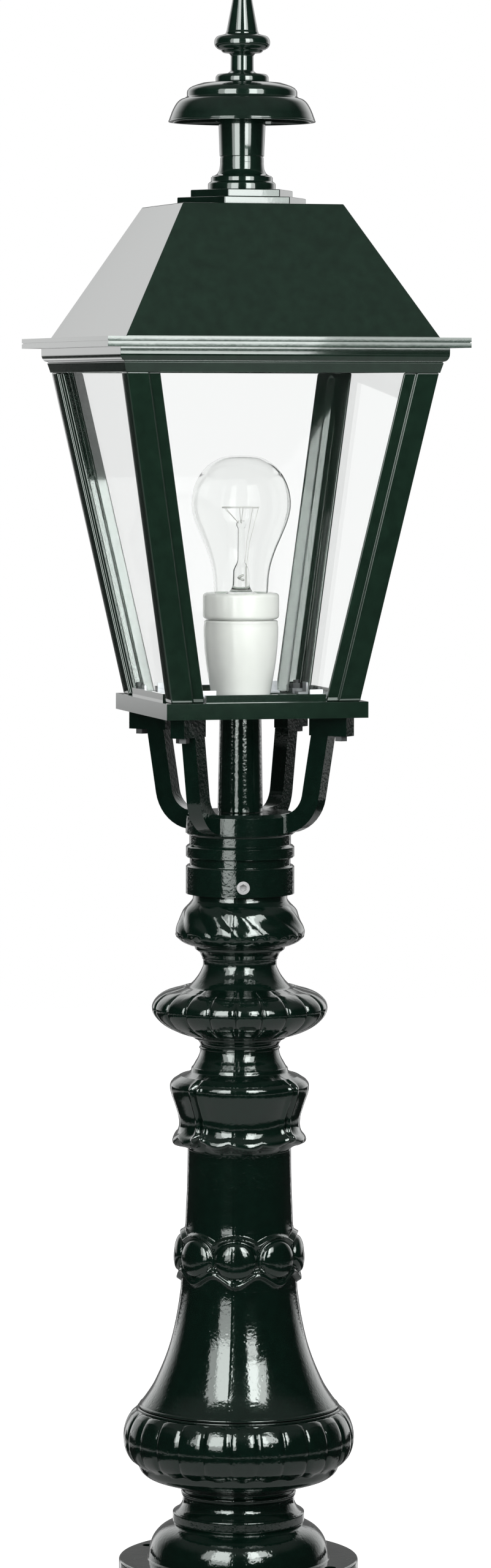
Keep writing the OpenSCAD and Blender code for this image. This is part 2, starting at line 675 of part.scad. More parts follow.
module spider() {
    groove_r = collar_r - groove_depth;
    ring_e = 0.8;
    color(green) difference() {
        union() {
            turned([
                [0, collar_z], [collar_r, collar_z], [collar_r, collar_z + collar_band_h - ring_e],
                [collar_r - ring_e, collar_z + collar_band_h], [groove_r, collar_z + collar_band_h],
                [groove_r, collar_ring_z], [collar_r - ring_e, collar_ring_z], [collar_r, collar_ring_z + ring_e],
                [collar_r, collar_ring_z + collar_ring_h - ring_e], [collar_r - ring_e, collar_ring_z + collar_ring_h],
                [groove_r + 0.2, collar_ring_z + collar_ring_h + ring_e], [groove_r + 0.2, drum_z - ring_e],
                [collar_r + 0.2, drum_z + ring_e], [collar_r + 0.2, drum_top - 2], [collar_r - 1.8, drum_top],
                [0, drum_top]]);
            for (q = [0 : 3]) rotate([0, 0, q * 90]) arm();
        }
        translate([0, 0, collar_z - 1]) cylinder(r = spigot_r + running_gap, h = spigot_top - collar_z + 1);
        translate([0, 0, spigot_top - 1]) cylinder(r = tie_washer_r + 5, h = drum_top - hub_web_t - spigot_top + 1);
        translate([0, 0, drum_top - hub_web_t - 1]) cylinder(r = nipple_r + 0.05, h = hub_web_t + 2);
        for (i = [0 : grub_count - 1])
            rotate([0, 0, -90 + grub_angle + i * 360 / grub_count]) translate([spigot_r - 2, 0, grub_z])
                rotate([0, 90, 0]) cylinder(r = grub_r + 0.1, h = 12);
        rotate([0, 0, 45]) for (q = [0 : 3]) rotate([0, 0, q * 90])
            translate([lug_bolt_d, 0, frame_z - lug_h - 1]) cylinder(r = lug_bolt_r + hole_gap, h = lug_h + 2);
    }
}

module grub_screws() {
    color(zinc) for (i = [0 : grub_count - 1])
        rotate([0, 0, -90 + grub_angle + i * 360 / grub_count]) translate([spigot_r + hole_gap, 0, grub_z])
            rotate([0, 90, 0]) difference() {
                cylinder(r = grub_r, h = collar_r - spigot_r + 0.4);
                translate([0, 0, collar_r - spigot_r - 2.6]) cylinder(r = 2.3, h = 4, $fn = 6);
            }
}

module stem_sleeve() {
    r = nipple_r + hole_gap;
    color(green) turned([
        [r, drum_top], [stem_low_r, drum_top], [stem_high_r, frame_z], [stem_high_r, floor_z], [r, floor_z],
        [r, floor_z - 5], [stem_high_r - 3.5, floor_z - 8], [stem_high_r - 3.5, drum_top + 8], [r, drum_top + 5]]);
}

module stem_nipple() {
    low = drum_top - hub_web_t + 0.5;
    high = holder_z + 5.5;
    color(brass_tone) difference() {
        translate([0, 0, low]) cylinder(r = nipple_r, h = high - low);
        translate([0, 0, low - 1]) cylinder(r = lead_r + 0.6, h = high - low + 2);
    }
}

module nipple_nut() {
    color(brass_tone) translate([0, 0, floor_top]) hex_nut(17, nut_t, nipple_r + 0.05);
}

module lug_bolts() {
    color(zinc) for (q = [0 : 3]) rotate([0, 0, 45 + q * 90])
        translate([lug_bolt_d, 0, frame_z - lug_h - 3]) {
            cylinder(r = 4, h = 3, $fn = 6);
            cylinder(r = lug_bolt_r, h = lug_h + frame_t + 3 + cleat_t + 5);
        }
}

module lug_nuts() {
    color(zinc) for (q = [0 : 3]) rotate([0, 0, 45 + q * 90])
        translate([lug_bolt_d, 0, frame_top + cleat_t]) hex_nut(7, 3.2, lug_bolt_r + 0.05);
}

module base_frame() {
    h = frame_w / 2;
    in = h - frame_ring_w;
    rim_out = post_foot_w / 2 - 0.2;
    rim_len = post_foot_w - 2 * post_leg - 1;
    color(green) difference() {
        union() {
            translate([-h, -h, frame_z]) cube([2 * h, 2 * h, frame_t]);
            for (q = [0 : 3]) rotate([0, 0, q * 90])
                translate([-rim_len / 2, -rim_out, frame_top - 1]) cube([rim_len, 2.4, rim_h + 1]);
        }
        translate([-in, -in, floor_z]) cube([2 * in, 2 * in, frame_t]);
        translate([-in + 8, -in + 8, frame_z - 1]) cube([2 * in - 16, 2 * in - 16, frame_t]);
        corners(lug_bolt_xy) translate([0, 0, frame_z - 1]) cylinder(r = lug_bolt_r + hole_gap, h = frame_t + 2);
        corners(in - 4) translate([0, 0, frame_z - 1]) cylinder(r = 1.5 + 0.05, h = frame_t + 2);
    }
}

module floor_plate() {
    in = frame_w / 2 - frame_ring_w;
    s = in - 0.2;
    color(zinc) difference() {
        translate([-s, -s, floor_z]) cube([2 * s, 2 * s, floor_t]);
        translate([0, 0, floor_z - 1]) cylinder(r = nipple_r + hole_gap, h = floor_t + 2);
        corners(in - 4) translate([0, 0, floor_z - 1]) cylinder(r = 1.5 + hole_gap, h = floor_t + 2);
    }
}

module floor_screws() {
    color(zinc) corners(frame_w / 2 - frame_ring_w - 4) translate([0, 0, frame_z + 0.5]) difference() {
        union() {
            cylinder(r = 1.5, h = floor_top - frame_z);
            translate([0, 0, floor_top - frame_z - 0.5]) cylinder(r = 2.9, h = 1.8);
        }
        translate([-3, -0.4, floor_top - frame_z + 0.5]) cube([6, 0.8, 2]);
    }
}

module post_cleats() {
    out = post_foot_w / 2 - post_wall - hole_gap;
    in = post_foot_w / 2 - glass_lap + 1.2;
    color(zinc) for (q = [0 : 3]) rotate([0, 0, q * 90]) difference() {
        translate([in, in, frame_top]) cube([out - in, out - in, cleat_t]);
        translate([lug_bolt_xy, lug_bolt_xy, frame_top - 1]) cylinder(r = lug_bolt_r + hole_gap, h = cleat_t + 2);
    }
}

module glass_clips() {
    face = glass_half(frame_top) - glass_t * 1.02 - 0.15;
    color(zinc) for (q = [0 : 3], s = [-1, 1]) rotate([0, 0, q * 90]) translate([s * clip_x - 4, -face, frame_top]) union() {
        cube([8, 1.2, 7]);
        cube([8, face - frame_w / 2 + frame_ring_w - 0.3, 1.2]);
    }
}

// One corner post at the front left, leaning out both ways.
// It is a straight profile along the lean, so its outline is the level one squeezed along the diagonal.
module corner_post() {
    outline = [[0, 0], [post_strip, 0], [post_strip, post_step], [post_leg, post_step], [post_leg, post_wall],
        [post_wall, post_wall], [post_wall, post_leg], [post_step, post_leg], [post_step, post_strip],
        [0, post_strip]];
    lean = atan(post_slope * sqrt(2));
    color(green) intersection() {
        translate([-post_foot_w / 2, -post_foot_w / 2, frame_top]) rotate([0, 0, 225]) rotate([0, lean, 0])
            translate([0, 0, -15]) linear_extrude(height = post_h / cos(lean) + 30)
                polygon([for (p = outline) [-(p[0] + p[1]) / sqrt(2) * cos(lean), (p[0] - p[1]) / sqrt(2)]]);
        translate([-rail_w / 2, -rail_w / 2, frame_top]) cube([rail_w, rail_w, post_h]);
    }
}

module post_front_left() { corner_post(); }
module post_front_right() { rotate([0, 0, 90]) corner_post(); }
module post_back_right() { rotate([0, 0, 180]) corner_post(); }
module post_back_left() { rotate([0, 0, 270]) corner_post(); }

// One leaning pane at the front
module pane() {
    z0 = frame_top + seat_gap;
    lean_t = glass_t * sqrt(1 + post_slope * post_slope);
    function ends(z) = let(w = post_half(z) - glass_lap, y = glass_half(z))
        [[-w, -y, z], [w, -y, z], [w, -y + lean_t, z], [-w, -y + lean_t, z]];
    color(clear) loft(ends(z0), ends(glass_top));
}

module glass_front() { pane(); }
module glass_right() { rotate([0, 0, 90]) pane(); }
module glass_back() { rotate([0, 0, 180]) pane(); }
module glass_left() { rotate([0, 0, 270]) pane(); }

// The moulded bar of a top rail, along the front
module rail_bar(length) {
    h = rail_w / 2;
    mid = rail_z + rail_h * 0.45;
    flange_in = gusset_in + 1;
    rotate([90, 0, 90]) linear_extrude(height = length, center = true)
        polygon(concat(
            [[-flange_in, eave_z], [-h, eave_z]],
            arc([-h + 2.8, eave_z - 3.5], [2.8, eave_z - 3.5 - mid], 180, 270, 6),
            [[-h + 3.5, mid - 0.3], [-h + 3, mid - 1], [-post_head_w / 2 - 0.4, rail_z],
            [-rail_in, rail_z], [-rail_in, eave_z - rail_flange_t],
            [-flange_in, eave_z - rail_flange_t]]));
}

// One top rail at the front, mitred at both ends, with the holes of its two screws
module top_rail() {
    h = rail_w / 2;
    color(green) difference() {
        intersection() {
            rail_bar(rail_w + 4);
            translate([0, 0, rail_z - 1]) linear_extrude(height = rail_h + 2)
                polygon([[0, 0], [-h - 20, -h - 20], [h + 20, -h - 20]]);
        }
        for (s = [-1, 1]) translate([s * rail_screw_x, -rail_screw_y, 0]) {
            translate([0, 0, eave_z - rail_flange_t - 1]) cylinder(r = 1.5 + hole_gap, h = rail_flange_t + 2);
            translate([0, 0, eave_z - 1.8]) cylinder(r = 2.9, h = 3);
        }
    }
}

module rail_front() { top_rail(); }
module rail_right() { rotate([0, 0, 90]) top_rail(); }
module rail_back() {
    difference() {
        rotate([0, 0, 180]) top_rail();
        for (s = [-1, 1], t = [-1, 1])
            translate([s * hinge_x + t * hinge_screw_x, rail_w / 2 - 6.5, hinge_screw_z])
                rotate([-90, 0, 0]) cylinder(r = 1.5 + 0.05, h = 8);
    }
}
module rail_left() { rotate([0, 0, 270]) top_rail(); }

module post_gussets() {
    s = gusset_out - gusset_in;
    color(green) for (q = [0 : 3]) rotate([0, 0, q * 90]) difference() {
        translate([gusset_in, gusset_in, rail_z]) cube([s, s, rail_h - rail_flange_t]);
        for (p = [[rail_screw_x, rail_screw_y], [rail_screw_y, rail_screw_x]])
            translate([p[0], p[1], rail_z + 1]) cylinder(r = 1.5 + 0.05, h = rail_h);
    }
}

module rail_screws() {
    color(zinc) for (q = [0 : 3]) rotate([0, 0, q * 90])
        for (p = [[rail_screw_x, rail_screw_y], [rail_screw_y, rail_screw_x]])
            translate([p[0], p[1], 0]) difference() {
                union() {
                    translate([0, 0, rail_z + 3]) cylinder(r = 1.5, h = rail_h - 3.5);
                    translate([0, 0, eave_z - 1.8]) cylinder(r = 2.8, h = 1.6);
                }
                translate([-3, -0.4, eave_z - 1]) cube([6, 0.8, 2]);
            }
}

module hinge_frame_leaves() {
    y = rail_w / 2;
    color(green) for (s = [-1, 1]) translate([s * hinge_x, 0, 0]) difference() {
        union() {
            difference() {
                translate([-hinge_len / 2, y - 5.5, hinge_z - leaf_h + 3.6]) cube([hinge_len, leaf_t + 5.5, leaf_h]);
                rotate([0, 0, 180]) rail_bar(hinge_len + 2);
            }
            translate([-hinge_mid_len / 2, y, hinge_z - 1.2]) cube([hinge_mid_len, hinge_y - y, 2.4]);
            translate([-hinge_mid_len / 2, hinge_y, hinge_z]) rotate([0, 90, 0]) cylinder(r = knuckle_r, h = hinge_mid_len);
        }
        translate([-hinge_len, hinge_y, hinge_z]) rotate([0, 90, 0]) cylinder(r = hinge_pin_r + 0.04, h = 2 * hinge_len);
        for (t = [-1, 1]) translate([t * hinge_screw_x, y - 7, hinge_screw_z]) rotate([-90, 0, 0])
            cylinder(r = 1.5 + hole_gap, h = 10);
    }
}

module hinge_frame_screws() {
    color(zinc) for (s = [-1, 1], t = [-1, 1])
        translate([s * hinge_x + t * hinge_screw_x, rail_w / 2, hinge_screw_z]) rotate([90, 0, 0]) {
            translate([0, 0, -leaf_t]) cylinder(r = 1.5, h = leaf_t + 6);
            translate([0, 0, -leaf_t - 1]) cylinder(r = 2.2, h = 1);
        }
}

module hinge_pins() {
    color(zinc) for (s = [-1, 1]) translate([s * hinge_x - hinge_len / 2, hinge_y, hinge_z])
        rotate([0, 90, 0]) cylinder(r = hinge_pin_r, h = hinge_len);
}

// The roof's leaf: a plate riveted under the overhang, with a knuckle at each end
module hinge_roof_leaves() {
    side = (hinge_len - hinge_mid_len) / 2 - 0.2;
    low = hinge_z + knuckle_r + seat_gap;
    out = eave_w / 2 - 0.6;
    color(green) for (s = [-1, 1]) translate([s * hinge_x, 0, 0]) difference() {
        union() {
            for (t = [-1, 1]) translate([t * (hinge_len - side) / 2 - side / 2, 0, 0]) {
                translate([0, hinge_y, hinge_z]) rotate([0, 90, 0]) cylinder(r = knuckle_r, h = side);
                translate([0, hinge_y - 2, hinge_z + 2]) cube([side, 4.8, eave_z - hinge_z - 2]);
            }
            translate([-hinge_len / 2, hinge_y - 2.4, low]) cube([hinge_len, out - hinge_y + 2.4, eave_z - low]);
        }
        translate([-hinge_len, hinge_y, hinge_z]) rotate([0, 90, 0]) cylinder(r = hinge_pin_r + 0.04, h = 2 * hinge_len);
        for (t = [-1, 1]) translate([t * rivet_x, hinge_y, low - 0.5]) cylinder(r = 1.3 + hole_gap, h = 3);
    }
}

module hinge_rivets() {
    low = hinge_z + knuckle_r + seat_gap + 0.1;
    color(zinc) for (s = [-1, 1], t = [-1, 1]) translate([s * hinge_x + t * rivet_x, hinge_y, 0]) {
        translate([0, 0, low]) cylinder(r = 1.3, h = roof_z - low + 0.5);
        translate([0, 0, roof_z]) cylinder(r = 2.3, h = 1);
    }
}

module eave() {
    h = eave_w / 2;
    in = roof_foot_w / 2 - 10;
    fold = eave_t * 0.45;
    color(green) difference() {
        union() {
            translate([-h, -h, eave_z]) cube([2 * h, 2 * h, fold]);
            translate([-h + 0.6, -h + 0.6, eave_z]) cube([2 * h - 1.2, 2 * h - 1.2, eave_t]);
            translate([-h, -h, eave_z + fold + 0.7]) cube([2 * h, 2 * h, eave_t - fold - 0.7]);
        }
        translate([-in, -in, eave_z - 1]) cube([2 * in, 2 * in, eave_t + 2]);
        for (s = [-1, 1], t = [-1, 1])
            translate([s * hinge_x + t * rivet_x, hinge_y, eave_z - 1])
                cylinder(r = 1.3 + hole_gap, h = eave_t + 2);
    }
}

module roof_shell() {
    hole_r = 21;
    lean = (roof_foot_w - roof_top_w) / 2 / roof_h;
    wall = sheet_t * sqrt(1 + lean * lean);
    in_low = roof_foot_w / 2 - wall + lean;
    in_high = roof_top_w / 2 - wall + lean * sheet_t;
    color(green) difference() {
        loft(square_at(roof_foot_w / 2, roof_z), square_at(roof_top_w / 2, roof_top));
        loft(square_at(in_low, roof_z - 1), square_at(in_high, roof_top - sheet_t));
        translate([0, 0, roof_top - 5]) cylinder(r = hole_r, h = 10);
    }
}

module chimney_plinth() {
    color(green) difference() {
        union() {
            translate([0, 0, roof_top]) cylinder(r = plinth_low_r, h = plinth_t, $fn = 6);
            translate([0, 0, roof_top + plinth_t - eps]) cylinder(r = plinth_high_r, h = plinth_t + eps, $fn = 6);
        }
        translate([0, 0, roof_top - 1]) cylinder(r = chimney_bore_r + 3, h = 2 * plinth_t + 2);
    }
}

module chimney() {
    z = plinth_top;
    foot_r = chimney_r + 7;
    color(green) union() {
        difference() {
            turned(concat(
                [[0, z], [foot_r, z], [foot_r, z + 4.6], [foot_r - 1.8, z + 5.2], [foot_r - 1.8, z + 8]],
                arc([foot_r - 1.8, z + 14.5], [foot_r - 1.8 - chimney_r + 0.3, 6.2], -90, -180, 5),
                [[chimney_r - 0.4, z + 19.3], [chimney_r - 0.7, z + 19.5], [chimney_r - 0.7, z + 20.1],
                [chimney_r - 0.1, z + 20.3], [chimney_r + 0.9, chimney_top], [0, chimney_top]]));
            translate([0, 0, z - 1]) cylinder(r = chimney_bore_r, h = chimney_h + 2);
        }
        difference() {
            union() {
                translate([0, 0, web_top - 3]) cylinder(r = rod_r + 2.4, h = 3);
                for (i = [0 : 2]) rotate([0, 0, 90 + i * 120])
                    translate([rod_r + 1, -1.25, web_top - 3]) cube([chimney_bore_r - rod_r - 0.5, 2.5, 3]);
            }
            translate([0, 0, web_top - 4]) cylinder(r = rod_r + hole_gap, h = 6);
        }
    }
}

module canopy() {
    z = canopy_z;
    step_r = canopy_r * 0.75;
    top_r = canopy_r * 0.59;
    k = canopy_h / 23.4;
    color(green) difference() {
        turned(concat(
            [[0, z], [canopy_r, z], [canopy_r, z + 2.2 * k], [canopy_r - 1.2, z + 3.6 * k]],
            arc([step_r + 1, z + 3.6 * k], [canopy_r - step_r - 2.6, 10.6 * k], 12, 88, 7),
            [[step_r, z + 14.8 * k], [step_r, z + 19 * k]],
            arc([step_r - 1.6, z + 19 * k], [1.6, 1.6], 0, 90, 3),
            [[top_r + 1, z + 21 * k], [top_r, z + canopy_h - 0.6], [top_r - 0.6, z + canopy_h], [0, z + canopy_h]]));
        turned(concat(
            [[0, z - 1], [canopy_r - canopy_wall, z - 1], [canopy_r - canopy_wall, z + 1.6 * k]],
            arc([step_r - 1, z + 1.6 * k], [canopy_r - step_r - 2.6, 10.4 * k], 10, 88, 6),
            [[step_r - canopy_wall - 1, z + 13 * k], [step_r - canopy_wall - 1, canopy_ceiling - 1.4],
            [step_r - canopy_wall - 2.4, canopy_ceiling], [0, canopy_ceiling]]));
        translate([0, 0, canopy_ceiling - 1]) cylinder(r = rod_r + hole_gap, h = 8);
    }
}

module canopy_spacer() {
    color(zinc) difference() {
        translate([0, 0, web_top]) cylinder(r = rod_r + 1.6, h = canopy_ceiling - web_top);
        translate([0, 0, web_top - 1]) cylinder(r = rod_r + hole_gap, h = canopy_ceiling - web_top + 2);
    }
}

module finial() {
    z = finial_z;
    disc = finial_knob_r * 0.95;
    stalk = finial_knob_r * 0.42;
    knob_z = z + 24;
    color(green) difference() {
        turned(concat(
            [[0, z], [disc - 1, z], [disc, z + 1], [disc, z + 4.2], [disc - 1.6, z + 5.6], [stalk + 1, z + 6.6],
            [stalk, z + 8], [stalk, z + 17], [stalk + 1, z + 18.2]],
            arc([stalk + 4, knob_z], [finial_knob_r - stalk - 4, 5], -75, 75, 8),
            [[finial_knob_r * 0.6, z + 30], [finial_knob_r * 0.57, z + 33]],
            [[1.7, z + finial_h - 2.6], [1, z + finial_h - 0.8], [0, z + finial_h]]));
        translate([0, 0, z - 1]) cylinder(r = rod_r + 0.05, h = 21);
    }
}

module finial_rod() {
    color(zinc) translate([0, 0, rod_low]) cylinder(r = rod_r, h = finial_z + 19 - rod_low);
}

module clamp_strap() {
    color(zinc) difference() {
        translate([-30, -6, roof_top - sheet_t - 2.5]) cube([60, 12, 2.5]);
        translate([0, 0, roof_top - 10]) cylinder(r = rod_r + hole_gap, h = 12);
    }
}

module clamp_nut() {
    color(zinc) translate([0, 0, roof_top - sheet_t - 2.5 - 5]) hex_nut(10, 5, rod_r + 0.05);
}

// Porcelain body: entry boss below, chamber for the terminals, seat of the screw shell above
module holder_body() {
    neck_r = holder_ring_r - 3.6;
    color(porcelain) difference() {
        turned(concat(
            [[0, holder_z], [holder_foot_r - 1, holder_z], [holder_foot_r, holder_z + 1]],
            [for (i = [1 : 6]) let(t = i / 6)
                [holder_foot_r + (holder_head_r - holder_foot_r) * sin(90 * t), holder_z + 1 + (holder_h - 5) * t]],
            [[holder_head_r, holder_top - 1], [holder_head_r - 1, holder_top], [neck_r, holder_top],
            [neck_r, ring_top - 4], [0, ring_top - 4]]));
        translate([0, 0, holder_z - 1]) cylinder(r = nipple_r + 0.05, h = 10);
        translate([0, 0, holder_z + 6]) cylinder(r = holder_foot_r - 6, h = 14);
        translate([0, 0, bulb_z - 4]) cylinder(r = shell_r + hole_gap, h = 60);
        translate([0, 0, bulb_z - 8]) cylinder(r = cap_r - 1.2, h = 6);
    }
}

module holder_ring() {
    neck_r = holder_ring_r - 3.6;
    color(porcelain) turned(concat(
        [[neck_r + hole_gap, ring_z]],
        arc([holder_ring_r - 1.2, ring_z + 1.2], [1.2, 1.2], -90, 0, 3),
        arc([holder_ring_r - 1.2, ring_top - 1.2], [1.2, 1.2], 0, 90, 3),
        [[bulb_neck_r + 0.7, ring_top], [bulb_neck_r + 0.7, ring_top - 4], [neck_r + hole_gap, ring_top - 4]]));
}

module holder_shell() {
    color(brass_tone) difference() {
        translate([0, 0, bulb_z - 4]) cylinder(r = shell_r, h = ring_top - 4.3 - bulb_z + 4);
        translate([0, 0, bulb_z - 5]) cylinder(r = cap_r + 0.25, h = 60);
    }
}

// Centre contact on a porcelain seat in the floor of the screw shell's chamber
module holder_contact() {
    color(brass_tone) union() {
        translate([0, 0, bulb_z - 8]) cylinder(r = cap_r - 2, h = 1.5);
        translate([0, 0, bulb_z - 8]) cylinder(r = 3.5, h = 8 - seat_gap);
    }
}

module bulb_glass() {
    wide_z = bulb_z + bulb_h - bulb_r * 1.1;
    neck_z = ring_top;
    low_z = bulb_z + cap_h;
    bow = wide_z - neck_z;
    function skin(d) = concat(
        [[cap_r + 0.1 - d, low_z], [bulb_neck_r - d, neck_z - 0.6]],
        [for (i = [1 : 8]) let(t = i / 9)
            [bulb_neck_r + (bulb_r - bulb_neck_r) * pow(sin(90 * t), 1.7) - d, neck_z + bow * t]],
        arc([0, wide_z], [bulb_r - d, bulb_r * 1.1 - d], 0, 90, 10));
    outer = skin(0);
    inner = skin(0.9);
    n = len(inner);
    color(clear) turned(concat(outer, [for (i = [n - 1 : -1 : 0]) inner[i]]));
}

// Glass stem with its seal, the support rod, two lead wires and the filament's loop
module bulb_stem() {
    z0 = bulb_z + cap_h;
    seal_r = cap_r - 1;
    fil_z = bulb_z + bulb_h - bulb_r * 1.1 + 2;
    color(clear) union() {
        turned([[0, z0], [seal_r, z0], [seal_r, z0 + 0.6], [5.2, z0 + 5], [4.8, z0 + 16], [2.3, z0 + 19],
            [2.3, fil_z - 8], [3.2, fil_z - 6], [2.3, fil_z - 4], [0, fil_z - 3.6]]);
        for (a = [90, 210, 330]) rotate([0, 0, a]) translate([0, 0, fil_z - 6])
            rotate([0, 50, 0]) cylinder(r = 0.3, h = 15.5);
        for (s = [0, 180]) rotate([0, 0, s + 30]) translate([2.6, 0, z0 + 15])
            rotate([0, 16, 0]) cylinder(r = 0.35, h = (fil_z + 3 - z0 - 15) / cos(16));
        translate([0, 0, fil_z + 3.2]) rotate([0, 0, 40]) rotate_extrude(angle = 290)
            translate([11.6, 0]) circle(r = 0.6, $fn = 16);
    }
}

module bulb_cap() {
    pitch = 3.62;
    turns = 5;
    z0 = bulb_z + 4;
    color(zinc) turned(concat(
        [[0, bulb_z], [4.2, bulb_z], [4.8, bulb_z + 1], [5.5, bulb_z + 1.4], [cap_r - 2.4, bulb_z + 3.4]],
        [for (i = [0 : turns * 4]) [cap_r - 0.45 - 0.45 * cos(i * 90), z0 + i * pitch / 4]],
        [[cap_r - 0.4, bulb_z + cap_h], [0, bulb_z + cap_h]]));
}

foot();
bowl();
column();
capital();
tie_tube();
tie_nuts();
tie_washers();
terminal_bracket();
terminal_block();
terminal_screws();
earth_screw();
inner_lead();
spider();
grub_screws();
stem_sleeve();
stem_nipple();
nipple_nut();
lug_bolts();
lug_nuts();
base_frame();
floor_plate();
floor_screws();
post_cleats();
glass_clips();
post_front_left();
post_front_right();
post_back_right();
post_back_left();
glass_front();
glass_right();
glass_back();
glass_left();
rail_front();
rail_right();
rail_back();
rail_left();
post_gussets();
rail_screws();
hinge_frame_leaves();
hinge_frame_screws();
hinge_pins();
hinge_roof_leaves();
hinge_rivets();
eave();
roof_shell();
chimney_plinth();
chimney();
canopy();
canopy_spacer();
finial();
finial_rod();
clamp_strap();
clamp_nut();
holder_body();
holder_ring();
holder_shell();
holder_contact();
bulb_glass();
bulb_stem();
bulb_cap();
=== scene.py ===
# Garden lantern: a turned cast column on a round flange, a four-armed spider, a square glazed
# head with a hinged roof, a porcelain lampholder and a clear bulb.
import math

import bpy
import bmesh
import numpy as np
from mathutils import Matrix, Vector


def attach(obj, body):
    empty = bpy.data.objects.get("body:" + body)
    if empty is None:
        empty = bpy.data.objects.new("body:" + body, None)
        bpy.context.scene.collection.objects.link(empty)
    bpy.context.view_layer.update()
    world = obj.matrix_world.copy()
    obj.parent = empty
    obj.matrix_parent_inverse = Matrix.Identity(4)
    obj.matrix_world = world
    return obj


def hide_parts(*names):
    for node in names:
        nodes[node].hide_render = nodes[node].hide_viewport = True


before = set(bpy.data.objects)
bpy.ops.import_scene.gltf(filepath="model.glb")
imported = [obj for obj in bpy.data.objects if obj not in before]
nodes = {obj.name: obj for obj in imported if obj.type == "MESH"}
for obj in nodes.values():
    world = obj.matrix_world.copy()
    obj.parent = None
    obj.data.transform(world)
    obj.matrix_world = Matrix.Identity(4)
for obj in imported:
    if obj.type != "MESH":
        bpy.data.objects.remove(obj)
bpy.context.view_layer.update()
scene = bpy.context.scene
scene.view_settings.view_transform = "Standard"

# Camera: a long lens a good three metres away, to the left of the lantern's front and a little
# below its eave, tipped slightly down and leaning a trace, as the photograph was taken.
tipped_down, leaning, turned_right = 4.12, -0.15, 15.385
camera_data = bpy.data.cameras.new("camera")
camera_data.sensor_width = 36
camera_data.lens = 124.75
camera = bpy.data.objects.new("camera", camera_data)
scene.collection.objects.link(camera)
camera.location = (-0.868, -3.164, 0.7219)
camera.rotation_euler = (math.radians(90 - tipped_down), math.radians(leaning),
                         math.radians(-turned_right))
scene.camera = camera

# Studio floor: a sheet of matt white paper under the flange. The camera sees it as white as the
# backdrop, also through clear glass, and all other light meets plain paper.


def step(tree, kind, settings=(), **wires):
    """Adds a node; settings are its properties, wires its inputs by name or _number."""
    node = tree.nodes.new(kind)
    for key, value in dict(settings).items():
        setattr(node, key, value)
    for key, value in wires.items():
        socket = node.inputs[int(key[1:])] if key[0] == "_" else node.inputs[key.replace("_", " ")]
        if isinstance(value, bpy.types.NodeSocket):
            tree.links.new(value, socket)
        else:
            socket.default_value = value
    return node.outputs


def maths(tree, operation, *values, clamp=False):
    """Adds a math node; each value is a number or another node's output."""
    wires = {f"_{k}": value for k, value in enumerate(values)}
    return step(tree, "ShaderNodeMath", {"operation": operation, "use_clamp": clamp}, **wires)[0]


def finish_of(name):
    """A new material, its node tree and its shader."""
    material = bpy.data.materials.new(name)
    material.use_nodes = True
    return material, material.node_tree, material.node_tree.nodes["Principled BSDF"]


floor_half = 3.0
floor_mesh = bpy.data.meshes.new("floor")
floor_mesh.from_pydata([(-floor_half, -floor_half, 0), (floor_half, -floor_half, 0),
                        (floor_half, floor_half, 0), (-floor_half, floor_half, 0)],
                       [], [(0, 1, 2, 3)])
floor = bpy.data.objects.new("floor", floor_mesh)
scene.collection.objects.link(floor)
# The gloss mirrors the studio's own ground, which is written in the next section
floor.visible_glossy = False

paper_white, paper_roughness, glow_share_seen = 0.8, 0.9, 0.6
paper, paper_tree, matt = finish_of("floor_paper")
matt.inputs["Base Color"].default_value = (paper_white, paper_white, paper_white, 1)
matt.inputs["Roughness"].default_value = paper_roughness
look = step(paper_tree, "ShaderNodeLightPath")
through_glass = maths(paper_tree, "SUBTRACT", look["Is Transmission Ray"], look["Diffuse Depth"],
                      clamp=True)
glow_share = maths(paper_tree, "MULTIPLY_ADD", look["Is Camera Ray"], glow_share_seen,
                   through_glass)
glow_level = maths(paper_tree, "ADD", look["Is Camera Ray"], 1.0)
glow = step(paper_tree, "ShaderNodeEmission", Strength=glow_level)[0]
paper_shade = step(paper_tree, "ShaderNodeMixShader", _0=glow_share, _1=matt.outputs[0], _2=glow)[0]
paper_tree.links.new(paper_shade, paper_tree.nodes["Material Output"].inputs["Surface"])
floor_mesh.materials.append(paper)

# Studio: the camera and clear glass see plain white. The gloss mirrors a white paper sweep behind
# the lantern, a pale ground and a dim room in front, and a low even light comes from all round.
to_camera = Vector((-0.2645, -0.9644, 0))
to_right = Vector((0.9644, -0.2645, 0))
world = bpy.data.worlds.new("studio")
scene.world = world
world.use_nodes = True
room = world.node_tree


def room_ramp(value, edge):
    """From 0 at the edge's first number to 1 at its second, softly."""
    return step(room, "ShaderNodeMapRange", {"interpolation_type": "SMOOTHSTEP"}, Value=value,
                From_Min=edge[0], From_Max=edge[1])["Result"]


def without(value):
    """What is left of 1 once a share is taken off."""
    return maths(room, "SUBTRACT", 1.0, value)


# A ray's rise is from -1 straight down to 1 straight up, and behind is 1 straight at the backdrop
ray_way = step(room, "ShaderNodeTexCoord")["Generated"]
behind = step(room, "ShaderNodeVectorMath", {"operation": "DOT_PRODUCT"}, _0=ray_way,
              _1=-to_camera)["Value"]
rise = step(room, "ShaderNodeSeparateXYZ", Vector=ray_way)["Z"]
# The sweep fades out at its sides and its top, and reaches further down straight behind
sweep_side, sweep_top, foot_blur = (0.40, 0.86), (0.6, 0.85), (-0.025, 0.025)
sweep_foot, sweep_drop, drop_side = -0.06, -0.34, (0.885, 0.925)
sweep_low = maths(room, "MULTIPLY_ADD", room_ramp(behind, drop_side), sweep_drop, sweep_foot)
above_foot = room_ramp(maths(room, "SUBTRACT", rise, sweep_low), foot_blur)
sweep = maths(room, "MULTIPLY", room_ramp(behind, sweep_side), above_foot)
sweep = maths(room, "MULTIPLY", sweep, without(room_ramp(rise, sweep_top)))
